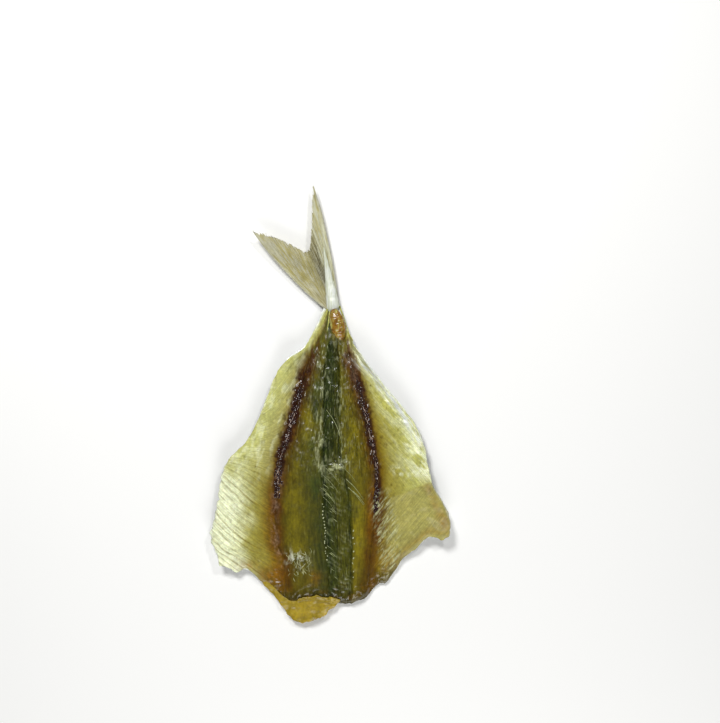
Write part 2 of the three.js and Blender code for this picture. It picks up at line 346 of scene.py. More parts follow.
    def depth(self, x, y, zone):
        """Thickness of the flesh over the skin."""
        left = zone["left"]
        taper = np.interp(y, [0, 12, 45, 75, 92, 100, 107], [0.8, 0.95, 1.0, 0.82, 0.5, 0.3, 0.1])
        full = self.loin_height * taper
        loin = full * np.where(left, 1.0, 0.88) * np.clip(1 - zone["to_band"] ** 2.6, 0, 1) ** 0.62
        groove = self.groove_depth * zone["gut"] * np.minimum(1, full / 2.4)
        strength = self.band_strength(left, y)
        lumps = 0.55 + 0.75 * noise(x, y / 2.4, 1.0, 41)
        ridge = self.band_height * bell(zone["off"], self.band_reach(left, y)) * strength * lumps
        bank = -0.3 * bell(np.abs(zone["off"]) - 2.4, 0.9) * strength
        fibres = 0.07 * noise(x, y / 7, 1.1, 47) * (1 - 0.7 * smooth(0, 0.3, zone["flap"]))
        puckers = 0.08 * noise(x, y, 1.6, 53) + 0.22 * noise(x, y, 7.0, 59)
        flap = self.flap_thickness * (1 - 0.25 * zone["flap"]) * (1 - 0.6 * smooth(92, 107, y))
        body = flap + loin - groove + ridge + bank + fibres - 0.16 * self.rib_lines(x, y, zone)
        body = body + self.ridges(x, y, zone) + self.roughness(x, y, zone)
        edge = np.minimum(zone["side_gap"], zone["neck_gap"])
        body = body + puckers * smooth(0, 3, edge)
        thin = self.edge_thickness / self.flap_thickness
        rounding = thin + (1 - thin) * (1 - np.exp(-np.clip(edge, 0, None) / 1.1))
        return np.maximum(body * rounding, 0.22)

    def ridges(self, x, y, zone):
        """Raised sinews along the groove, the slanting ribs in it and the lining's thick edge."""
        lumps = 0.7 + 0.6 * noise(x, y / 2, 1.2, 61)
        left = 0.55 * bell(zone["from_left"] - 0.2, 0.55) * window(30, 90, 4, y)
        right = 0.35 * bell(zone["from_right"] - 0.2, 0.5) * window(12, 88, 5, y)
        ribs = 0.16 * self.slants(x, y, zone)
        lining = 0.3 * zone["lining"]
        fan = 0.22 * self.fan(x, y) * self.strand_noise(x, y)
        return (left + right) * lumps + ribs + lining + fan

    @staticmethod
    def slants(x, y, zone):
        """Slanting ribs in the lower half of the groove, as 0 to 1."""
        drift = 0.6 * noise(x, y, 4.0, 66) + 0.2 * noise(x, y, 1.2, 69)
        slant = bell(np.mod((y + 0.8 * (x - zone["left_ridge"])) / 2.1 + drift, 1) - 0.5, 0.2)
        return slant * window(4, 47, 3, y) * zone["gut"] * smooth(-0.3, 0.6, noise(x, y, 3.0, 68))

    @staticmethod
    def fan(x, y):
        """Where glossy strands fan out beside the right band, as 0 to 1."""
        return window(15.2, 22.5, 2.2, x + 0.18 * (y - 25)) * window(5, 38, 4, y)

    @staticmethod
    def strand_noise(x, y):
        """Noise drawn out along strands that curve away from the right band, from -1 to 1."""
        lean = 1.35 * (x - 14) - y - 0.022 * (x - 14) ** 2
        return noise(lean, (x + 1.2 * y) / 7, 0.75, 64)

    @staticmethod
    def roughness(x, y, zone):
        """Torn, lumpy flesh along the neck cut and where the lining was pulled away."""
        neck = 1 - smooth(3, 10, zone["neck_gap"])
        torn = bell(x + 12.5, 5.0) * bell(y - 14.5, 3.4)
        web = bell(x - 0.5, 4.6) * bell(y - 48.0, 2.8)
        lumps = noise(x, y, 1.1, 72) * (0.3 * neck * (zone["flap"] < 0.25) + 0.5 * torn)
        upper = 0.16 * noise(x, y / 1.8, 1.2, 78) * window(44, 92, 5, y) * (zone["off"] < 0)
        return lumps + upper + 0.55 * web * (1 + 0.8 * noise(x / 2.5, y, 0.9, 76))

    @staticmethod
    def rib_phase(x, y, zone):
        """Rises by one from each rib's groove to the next across a flap."""
        out = np.abs(x - zone["band"])
        turn = 2.6 * smooth(44, 72, y) - 0.6
        left = (y + turn * out - 0.010 * out**2) / 2.6
        low = (y - 1.35 * out) / 3.0
        high = (y + 1.25 * out) / 2.4
        right = np.where(y < lining_top(x), low, high)
        return np.where(zone["left"], left, right)

    def rib_lines(self, x, y, zone):
        """Fine grooves that follow the ribs across the flaps, as 0 to 1."""
        drift = 0.28 * noise(x, y, 9.0, 67) + 0.07 * noise(x, y, 2.5, 71)
        phase = self.rib_phase(x, y, zone) + drift
        uneven = 0.55 + 0.45 * smooth(-0.3, 0.5, noise(0 * x, phase, 1.0, 75, 1))
        line = bell(np.mod(phase, 1) - 0.5, 0.11) * uneven
        reach = smooth(0.1, 0.45, zone["flap"])
        strong = np.where(zone["left"], 0.06 + 0.94 * (1 - smooth(42, 56, y)), 0.3)
        return line * reach * strong * (1 - 0.7 * zone["lining"]) * (1 - smooth(66, 80, y))

    def point(self, x, y, z):
        """Places given by x, y and z, in the frame."""
        return in_frame(np.stack([x + 0 * z, y + 0 * z, z], -1))


# ---------------------------------------------------------------- meshes

def in_frame(places):
    """Places in the frame's axes, in metres."""
    return (places + ORIGIN) * MM


def link(name, mesh):
    piece = bpy.data.objects.new(name, mesh)
    bpy.context.scene.collection.objects.link(piece)
    return piece


def link_piece(name, mesh, material):
    """A finished piece: smooth, at the origin, riding on the fish, with the CAD node hidden."""
    mesh.materials.append(material)
    mesh.polygons.foreach_set("use_smooth", np.ones(len(mesh.polygons), bool))
    mesh.update()
    settle(link(name, mesh))


def settle(piece):
    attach(piece, BODY)
    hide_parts(NODE)


def add_share(mesh, name, values):
    """Stores one number a point under a name."""
    layer = mesh.attributes.new(name, "FLOAT", "POINT")
    layer.data.foreach_set("value", np.asarray(values, np.float32))


def closed_sheet(name, fine, coarse, step, fine_up=True, shares=None):
    """One closed mesh between a fine grid and a grid of every step-th point on the other side."""
    rows, columns = fine.shape[0] - 1, fine.shape[1] - 1
    few_rows, few_columns = rows // step, columns // step
    top = np.arange((rows + 1) * (columns + 1)).reshape(rows + 1, columns + 1)
    under = top.size + np.arange((few_rows + 1) * (few_columns + 1)).reshape(few_rows + 1, few_columns + 1)

    def quads(grid):
        return np.stack([grid[:-1, :-1], grid[:-1, 1:], grid[1:, 1:], grid[1:, :-1]], -1).reshape(-1, 4)

    faces = quads(top).tolist() + quads(under)[:, ::-1].tolist()
    for k in range(few_columns):
        run = slice(k * step, (k + 1) * step + 1)
        faces.append([under[0, k], under[0, k + 1], *top[0, run][::-1]])
        faces.append([under[-1, k + 1], under[-1, k], *top[-1, run]])
    for k in range(few_rows):
        run = slice(k * step, (k + 1) * step + 1)
        faces.append([under[k + 1, 0], under[k, 0], *top[run, 0]])
        faces.append([under[k, -1], under[k + 1, -1], *top[run, -1][::-1]])
    if not fine_up:
        faces = [face[::-1] for face in faces]
    faces = [[int(corner) for corner in face] for face in faces]
    mesh = bpy.data.meshes.new(name)
    mesh.from_pydata(np.vstack([fine.reshape(-1, 3), coarse.reshape(-1, 3)]).tolist(), [], faces)
    for name, share in (shares or {}).items():
        add_share(mesh, name, np.r_[share.ravel(), share[::step, ::step].ravel()])
    return mesh


def lofted(name, centres, widths, heights, lump, seed, sides=28):
    """A closed body of oval sections along a line, with rounded ends where the sections shrink."""
    count = len(centres)
    angle = np.linspace(0, 2 * np.pi, sides, endpoint=False)
    tangent = np.gradient(centres, axis=0)
    tangent /= np.linalg.norm(tangent, axis=1)[:, None]
    side = np.cross(tangent, [0, 0, 1])
    side /= np.linalg.norm(side, axis=1)[:, None]
    up = np.cross(side, tangent)
    ring = np.arange(count)[:, None] + 0 * angle[None, :]
    swell = 1 + lump * noise(ring * 0.9, 3 * np.cos(angle) + 3.1 * np.sin(angle), 1.4, seed)
    sideways = np.cos(angle)[None, :] * widths[:, None] / 2 * swell
    upwards = np.sin(angle)[None, :] * heights[:, None] / 2 * swell
    points = centres[:, None] + side[:, None] * sideways[..., None] + up[:, None] * upwards[..., None]
    index = np.arange(count * sides).reshape(count, sides)
    after = np.roll(index, -1, 1)
    faces = np.stack([index[:-1], index[1:], after[1:], after[:-1]], -1).reshape(-1, 4).tolist()
    first, last = count * sides, count * sides + 1
    faces += [[first, int(a), int(b)] for a, b in zip(index[0], after[0])]
    faces += [[last, int(b), int(a)] for a, b in zip(index[-1], after[-1])]
    verts = np.vstack([points.reshape(-1, 3), centres[:1], centres[-1:]])
    mesh = bpy.data.meshes.new(name)
    mesh.from_pydata(in_frame(verts).tolist(), [], faces)
    return mesh


# ---------------------------------------------------------------- geometry node trees

class NodeMaker:
    """Adds nodes to a tree. Each input is given as a value or as the socket that feeds it."""

    def __init__(self, tree):
        self.nodes, self.links = tree.nodes, tree.links

    def put(self, socket, value):
        if isinstance(value, bpy.types.NodeSocket):
            self.links.new(value, socket)
        elif socket.type == "RGBA" and hasattr(value, "__len__"):
            socket.default_value = (*value, 1.0)
        else:
            socket.default_value = value

    def add(self, kind, settings=None, **inputs):
        node = self.nodes.new(kind)
        for key, value in (settings or {}).items():
            setattr(node, key, value)
        for key, value in inputs.items():
            self.put(node.inputs[key.replace("_", " ")], value)
        return node


class Tree(NodeMaker):
    """A geometry node tree with named inputs."""

    def __init__(self, name, inputs):
        self.group = bpy.data.node_groups.new(name, "GeometryNodeTree")
        super().__init__(self.group)
        face = self.group.interface
        face.new_socket("Geometry", in_out="INPUT", socket_type="NodeSocketGeometry")
        for label, kind in inputs.items():
            face.new_socket(label, in_out="INPUT", socket_type=kind)
        face.new_socket("Geometry", in_out="OUTPUT", socket_type="NodeSocketGeometry")
        self.start = self.nodes.new("NodeGroupInput")
        self.end = self.nodes.new("NodeGroupOutput")

    def given(self, label):
        return self.start.outputs[label]

    def attribute(self, label, kind):
        node = self.add("GeometryNodeInputNamedAttribute", {"data_type": kind})
        node.inputs["Name"].default_value = label
        return node.outputs["Attribute"]

    def finish(self, geometry):
        """Ends the tree in real, smooth geometry with its material."""
        real = self.add("GeometryNodeRealizeInstances", Geometry=geometry)
        shaded = self.add("GeometryNodeSetShadeSmooth", Geometry=real.outputs[0])
        material = self.given("Material")
        painted = self.add("GeometryNodeSetMaterial", Geometry=shaded.outputs[0], Material=material)
        self.put(self.end.inputs[0], painted.outputs[0])


def grow(name, mesh, tree, values):
    """Runs a tree on a mesh and keeps the result as a plain mesh in a finished piece."""
    piece = link(name, mesh)
    modifier = piece.modifiers.new(tree.group.name, "NODES")
    modifier.node_group = tree.group
    for item in tree.group.interface.items_tree:
        if item.in_out == "INPUT" and item.name in values:
            modifier[item.identifier] = values[item.name]
    depsgraph = bpy.context.evaluated_depsgraph_get()
    grown = bpy.data.meshes.new_from_object(piece.evaluated_get(depsgraph))
    piece.modifiers.clear()
    piece.data = grown
    grown.name = name
    if not len(grown.polygons):
        raise RuntimeError(f"{name} grew no faces")
    settle(piece)


def strand_mesh(name, lines, radii):
    """A mesh of edges only, one chain a line, that stores each point's radius."""
    verts, edges, thick = [], [], []
    for line, radius in zip(lines, radii):
        first = len(verts)
        verts += in_frame(line).tolist()
        edges += [(first + k, first + k + 1) for k in range(len(line) - 1)]
        thick += list(radius)
    mesh = bpy.data.meshes.new(name)
    mesh.from_pydata(verts, edges, [])
    add_share(mesh, "thick", np.array(thick) * MM)
    return mesh


def strand_tree(name):
    """Sweeps a round section along each chain of edges, as thick as its points say."""
    tree = Tree(name, {"Sides": "NodeSocketInt", "Material": "NodeSocketMaterial"})
    curve = tree.add("GeometryNodeMeshToCurve", Mesh=tree.given("Geometry"))
    thick = tree.attribute("thick", "FLOAT")
    sized = tree.add("GeometryNodeSetCurveRadius", Curve=curve.outputs[0], Radius=thick)
    circle = tree.add("GeometryNodeCurvePrimitiveCircle", Resolution=tree.given("Sides"), Radius=1.0)
    radius = tree.add("GeometryNodeInputRadius")
    swept = tree.add("GeometryNodeCurveToMesh", Curve=sized.outputs[0], Profile_Curve=circle.outputs[0],
                     Scale=radius.outputs[0], Fill_Caps=True)
    tree.finish(swept.outputs[0])
    return tree


def sweep(name, lines, radii, sides, material):
    """A piece made of round strands that follow lines of points."""
    given = {"Sides": sides, "Material": material}
    grow(name, strand_mesh(name, lines, radii), strand_tree(name), given)


def spot_mesh(name, points, turns, spans):
    """A mesh of points only, that stores each one's turn and its size in three directions."""
    mesh = bpy.data.meshes.new(name)
    mesh.from_pydata(in_frame(points).tolist(), [], [])
    for label, values in (("turn", turns), ("span", spans * MM)):
        layer = mesh.attributes.new(label, "FLOAT_VECTOR", "POINT")
        layer.data.foreach_set("vector", np.asarray(values, np.float32).ravel())
    return mesh


def plate_tree(name, kind, **inputs):
    """Puts one small solid on each point, turned and sized as the point says."""
    tree = Tree(name, {"Material": "NodeSocketMaterial"})
    solid = tree.add(kind, **inputs)
    turn = tree.add("FunctionNodeEulerToRotation", Euler=tree.attribute("turn", "FLOAT_VECTOR"))
    spread = tree.add("GeometryNodeInstanceOnPoints", Points=tree.given("Geometry"),
                      Instance=solid.outputs["Mesh"], Rotation=turn.outputs[0],
                      Scale=tree.attribute("span", "FLOAT_VECTOR"))
    tree.finish(spread.outputs[0])
    return tree


def set_out(name, points, turns, spans, material, tree):
    """A piece made of the tree's small solids, one at each point."""
    grow(name, spot_mesh(name, points, turns, spans), tree, {"Material": material})


def lump_tree(name, radius):
    return plate_tree(name, "GeometryNodeMeshIcoSphere", Radius=radius, Subdivisions=2)


def cone_tree(name, corners, top):
    """Flat cones with a few corners, whose top is this share of their foot."""
    return plate_tree(name, "GeometryNodeMeshCone", Vertices=corners, Side_Segments=1, Fill_Segments=1,
                      Radius_Top=top, Radius_Bottom=1.0, Depth=1.0)


def turns_from(normal, forward):
    """XYZ angles that turn +Z to each normal and +Y towards each forward direction."""
    z = normal / np.linalg.norm(normal, axis=1)[:, None]
    x = np.cross(forward, z)
    x /= np.linalg.norm(x, axis=1)[:, None]
    y = np.cross(z, x)
    pitch = np.arcsin(np.clip(-x[:, 2], -1, 1))
    roll = np.arctan2(y[:, 2], z[:, 2])
    yaw = np.arctan2(x[:, 1], x[:, 0])
    return np.stack([roll, pitch, yaw], 1)


# ---------------------------------------------------------------- finishes

class Finish(NodeMaker):
    """One material and the short words its nodes are made with."""

    def __init__(self, name):
        self.material = bpy.data.materials.new(name)
        self.material.use_nodes = True
        super().__init__(self.material.node_tree)
        self.shader = self.nodes["Principled BSDF"]
        self.place = self.nodes.new("ShaderNodeTexCoord").outputs["Object"]
        self.relief = None

    def share(self, name):
        return self.add("ShaderNodeAttribute", {"attribute_name": name}).outputs["Fac"]

    def grain(self, size, stretch=(1, 1, 1), detail=4.0, rough=0.6, warp=0.0):
        """Noise whose lumps are about size millimetres, longer along an axis where its stretch is more."""
        scale = [1 / (size * MM * factor) for factor in stretch]
        mapped = self.add("ShaderNodeMapping", Vector=self.place, Scale=scale)
        node = self.add("ShaderNodeTexNoise", Vector=mapped.outputs[0], Scale=1.0, Detail=detail,
                        Roughness=rough, Distortion=warp)
        return node.outputs["Fac"]

    def strands(self, across, along, width, stretch, detail):
        """Noise drawn out along strands whose course is stored on the mesh as two numbers in millimetres."""
        place = self.add("ShaderNodeCombineXYZ", X=self.share(across), Y=self.share(along))
        scale = (1 / width, 1 / (width * stretch), 1)
        mapped = self.add("ShaderNodeMapping", Vector=place.outputs[0], Scale=scale)
        node = self.add("ShaderNodeTexNoise", Vector=mapped.outputs[0], Scale=1.0, Detail=detail,
                        Roughness=0.6, Distortion=0.4)
        return node.outputs["Fac"]

    def maths(self, operation, first, second=0.0):
        node = self.nodes.new("ShaderNodeMath")
        node.operation = operation
        node.use_clamp = operation not in ("SUBTRACT", "MULTIPLY", "ADD")
        self.put(node.inputs[0], first)
        self.put(node.inputs[1], second)
        return node.outputs[0]

    def times(self, first, second):
        return self.maths("MULTIPLY", first, second)

    def spread(self, value, low, high, to_low=0.0, to_high=1.0):
        node = self.add("ShaderNodeMapRange", Value=value, From_Min=low, From_Max=high, To_Min=to_low,
                        To_Max=to_high)
        return node.outputs[0]

    def mix(self, share, first, second, blend="MIX"):
        node = self.nodes.new("ShaderNodeMix")
        node.data_type = "RGBA"
        node.blend_type = blend
        self.put(node.inputs[0], share)
        self.put(node.inputs[6], first)
        self.put(node.inputs[7], second)
        return node.outputs[2]

    def lay(self, name, colour, over, grain, low, high, least, most):
        """Lays a colour over another where the share called name says, broken up by a grain."""
        cover = self.times(self.share(name), self.spread(grain, low, high, least, most))
        return self.mix(cover, over, colour)

    def shade(self, colour, grain, low, high):
        """Darkens and lightens a colour by a grain."""
        red, green, blue = (self.spread(grain, 0.3, 0.7, low, high) for _ in range(3))
        grey = self.add("ShaderNodeCombineColor", Red=red, Green=green, Blue=blue)
        return self.mix(1.0, colour, grey.outputs[0], "MULTIPLY")

    def bump(self, height, depth):
        """Adds relief of depth millimetres on what is there."""
        node = self.add("ShaderNodeBump", Strength=1.0, Distance=depth * MM, Height=height)
        if self.relief:
            self.links.new(self.relief, node.inputs["Normal"])
        self.relief = node.outputs[0]

    def finish(self, colour, rough, **settings):
        """Joins the colour, roughness and relief to the shader. settings go on its own sockets."""
        self.put(self.shader.inputs["Base Color"], colour)
        self.put(self.shader.inputs["Roughness"], rough)
        if self.relief:
            self.links.new(self.relief, self.shader.inputs["Normal"])
        for key, value in settings.items():
            self.put(self.shader.inputs[key.replace("_", " ")], value)
        return self.material


def flesh_finish():
    """Oily dried flesh: every kind of flesh is a share stored on the mesh, broken up by grain."""
    tone = colours()
    f = Finish("dried_flesh")
    on_flap = f.share("on_flap")
    fibre = f.strands("fibre_x", "fibre_y", 0.55, 7, 4)
    rib = f.strands("rib_x", "rib_y", 0.5, 9, 4)
    thread = f.maths("ADD", f.times(fibre, f.maths("SUBTRACT", 1.0, on_flap)), f.times(rib, on_flap))
    fleck = f.grain(1.1, detail=6, rough=0.7)
    cloud = f.grain(6, (1, 1.5, 1), detail=3)
    blotch = f.strands("fibre_x", "fibre_y", 2.2, 2.6, 5)
    gold = f.maths("ADD", f.share("gold"), f.spread(blotch, 0.35, 0.7, -0.25, 0.45))
    loin = f.mix(gold, tone.loin, tone.loin_gold)
    loin = f.lay("green", tone.green, loin, blotch, 0.3, 0.6, 0.55, 1)
    # groove colour where the dark share says: the groove's own floor, painted shade at its walls and in the
    # torn gaps, painted shadows beside it and round the tail bone
    loin = f.lay("dark", tone.groove, loin, fibre, 0.35, 0.62, 1, 0.6)
    flap = f.mix(f.spread(f.share("flap"), 0.08, 0.72), tone.flap, tone.flap_pale)
    flap = f.lay("cream", tone.cream, flap, rib, 0.3, 0.6, 0.75, 1)
    flap = f.mix(f.times(f.share("lines"), 0.75), flap, tone.flap)
    body = f.mix(on_flap, loin, flap)
    for name, colour, grain, low, high, least, most in (
        ("lining", tone.lining, cloud, 0.3, 0.7, 0.8, 1),
        # darker along the neck cut: dried flesh, with painted shadow along the edge
        ("neck", tone.cut, fleck, 0.3, 0.7, 0.6, 1),
        ("stain", tone.stain, fibre, 0.3, 0.7, 1, 0.8),
        ("amber", tone.amber, fleck, 0.3, 0.6, 0.6, 1),
        ("band", tone.band, fleck, 0.32, 0.6, 1, 0.8),
        # pale greyish streaks on the band ends
        ("pale_band_streak", tone.pale_band_streak, fleck, 0.4, 0.6, 0.2, 1),
        # pale sinews, and painted glints beside the groove and on the fanned strands
        ("sinew", tone.sinew, thread, 0.36, 0.6, 0.4, 1),
    ):
        body = f.lay(name, colour, body, grain, low, high, least, most)
    body = f.mix(f.share("rim"), body, tone.silver)
    body = f.shade(body, thread, 0.74, 1.24)
    body = f.shade(body, fleck, 0.74, 1.22)
    body = f.shade(body, cloud, 0.88, 1.1)
    speck = f.grain(0.8, (1, 2.2, 1), detail=4, rough=0.65)
    body = f.mix(f.share("mottle_and_glint"), body, f.shade(body, speck, 0.55, 1.4))
    hair = f.strands("fibre_x", "fibre_y", 0.42, 8, 2)
    # painted glints: thin pale streaks along the fibres where the flesh is mottled
    body = f.lay("mottle_and_glint", tone.sinew, body, hair, 0.6, 0.72, 0, 0.36)
    body = f.lay("mottle_and_glint", tone.groove, body, hair, 0.42, 0.32, 0, 0.55)
    f.bump(f.times(f.share("mottle_and_glint"), f.strands("fibre_x", "fibre_y", 0.6, 3.2, 1)), 0.13)
    f.bump(f.grain(1.0, (1, 1.6, 1), detail=1, rough=0.4), 0.065)
    f.bump(thread, 0.03)
    f.bump(f.grain(0.4, detail=1), 0.012)
    wet = f.maths("ADD", f.share("wet"), f.spread(fleck, 0.35, 0.65, -0.1, 0.2))
    rough = f.maths("ADD", f.spread(wet, 0, 1, 0.38, 0.14), f.times(f.share("matt"), 0.12))
    return f.finish(body, rough, Subsurface_Weight=0.06, Subsurface_Radius=(0.7, 0.45, 0.15),
                    Subsurface_Scale=0.001, Specular_IOR_Level=0.42, IOR=1.45)


def skin_finish():
    """Satin grey skin, blue towards the back and silver along its edge."""
    tone = colours()
    f = Finish("fish_skin")
    fleck = f.grain(0.9, detail=5, rough=0.65)
    cloud = f.grain(9, detail=3)
    body = f.lay("dark", tone.skin_blue, tone.skin, cloud, 0.3, 0.7, 0.75, 1)
    body = f.mix(f.share("back"), body, tone.skin_dark)
    body = f.mix(f.share("rim"), body, tone.silver)
    body = f.shade(body, fleck, 0.75, 1.2)
    body = f.shade(body, cloud, 0.85, 1.12)
    f.bump(fleck, 0.06)
    return f.finish(body, f.spread(fleck, 0.3, 0.7, 0.28, 0.46), Metallic=0.35, Coat_Weight=0.2,
                    Coat_Roughness=0.25)


def scale_finish():
    """Scales: dark along the back, blue beside it and silver towards the belly."""
    tone = colours()
    f = Finish("silver_scale")
    patch = f.grain(5, detail=3)
    fine = f.grain(0.4, detail=3)
    place = f.add("ShaderNodeSeparateXYZ", Vector=f.place)
    from_back = f.maths("ABSOLUTE", f.maths("SUBTRACT", place.outputs["X"], ORIGIN[0] * MM))
    from_back = f.maths("ADD", from_back, f.spread(patch, 0.3, 0.7, -0.003, 0.003))
    body = f.mix(f.spread(from_back, 0.006, 0.018), tone.skin_blue, tone.skin)
    body = f.mix(f.spread(from_back, 0.016, 0.034), body, tone.silver)
    body = f.mix(f.spread(from_back, 0.0075, 0.0015), body, tone.skin_dark)
    body = f.shade(body, patch, 0.7, 1.2)
    body = f.shade(body, fine, 0.85, 1.12)
    f.bump(fine, 0.03)
    return f.finish(body, f.spread(fine, 0.3, 0.7, 0.24, 0.4), Metallic=0.5, Coat_Weight=0.2,
                    Coat_Roughness=0.2)


def membrane_finish():
    """The thin tail fin, streaked along its rays, brown in its folds and silvery at its root."""
    tone = colours()
    f = Finish("fin_membrane")
    ray = f.strands("fan_x", "fan_y", 0.5, 14, 4)
    cloud = f.grain(5, detail=3)
    body = f.mix(f.spread(ray, 0.42, 0.62), tone.fin, tone.ray)
    body = f.lay("folded", tone.fin_dark, body, ray, 0.4, 0.56, 1, 0.25)
    body = f.lay("root", tone.lobe, body, ray, 0.38, 0.58, 0.25, 0.95)
    body = f.shade(body, ray, 0.74, 1.15)
    body = f.shade(body, cloud, 0.85, 1.1)
    f.bump(ray, 0.08)
    clear = f.maths("ADD", f.share("solid"), f.spread(cloud, 0.3, 0.7, -0.08, 0.12))
    return f.finish(body, f.spread(ray, 0.3, 0.7, 0.42, 0.26), Alpha=clear, Specular_IOR_Level=0.5)


def silver_finish():
    """The silvery skin of the tail stalk, streaked along the fish."""
    tone = colours()
    f = Finish("silver_root")
    streak = f.grain(0.55, (1, 9, 3), detail=3)
    cloud = f.grain(2.4, (1, 2, 1), detail=3)
    body = f.mix(f.spread(streak, 0.38, 0.52), tone.lobe, tone.silver)
    body = f.mix(f.spread(cloud, 0.42, 0.7, 0, 0.5), body, tone.dull)
    body = f.shade(body, cloud, 0.85, 1.05)
    f.bump(streak, 0.05)
    return f.finish(body, f.spread(streak, 0.3, 0.7, 0.5, 0.34), Metallic=0.15)


def bone_finish():
    """The oily amber stump of the backbone, streaked along its length."""
    tone = colours()
    f = Finish("amber_bone")
    streak = f.grain(1.0, (1, 6, 1), detail=3)
    cloud = f.grain(1.7, detail=4)
    body = f.mix(f.spread(streak, 0.5, 0.66, 0, 0.75), tone.bone, tone.flap_pale)
    body = f.mix(f.spread(streak, 0.44, 0.34, 0, 0.7), body, tone.stain)
    body = f.shade(body, cloud, 0.62, 1.35)
    f.bump(cloud, 0.06)
    f.bump(streak, 0.02)
    return f.finish(body, f.spread(cloud, 0.3, 0.7, 0.18, 0.34), Subsurface_Weight=0.1,
                    Subsurface_Radius=(1.0, 0.4, 0.1), Subsurface_Scale=0.001, Coat_Weight=0.2,
                    Coat_Roughness=0.1)


def plain_finish(name, colour, size, rough=(0.3, 0.5), relief=0.05, contrast=(0.75, 1.2), **settings):
    """A finish of one colour broken up by two grains, for the small pieces."""
    f = Finish(name)
    coarse = f.grain(size, detail=4)
    fine = f.grain(size / 4, detail=3)
    body = f.shade(colour, coarse, *contrast)
    body = f.shade(body, fine, 0.9, 1.1)
    f.bump(coarse, relief)
    f.bump(fine, relief / 3)
    return f.finish(body, f.spread(coarse, 0.3, 0.7, *rough), **settings)


# ---------------------------------------------------------------- kinds of flesh

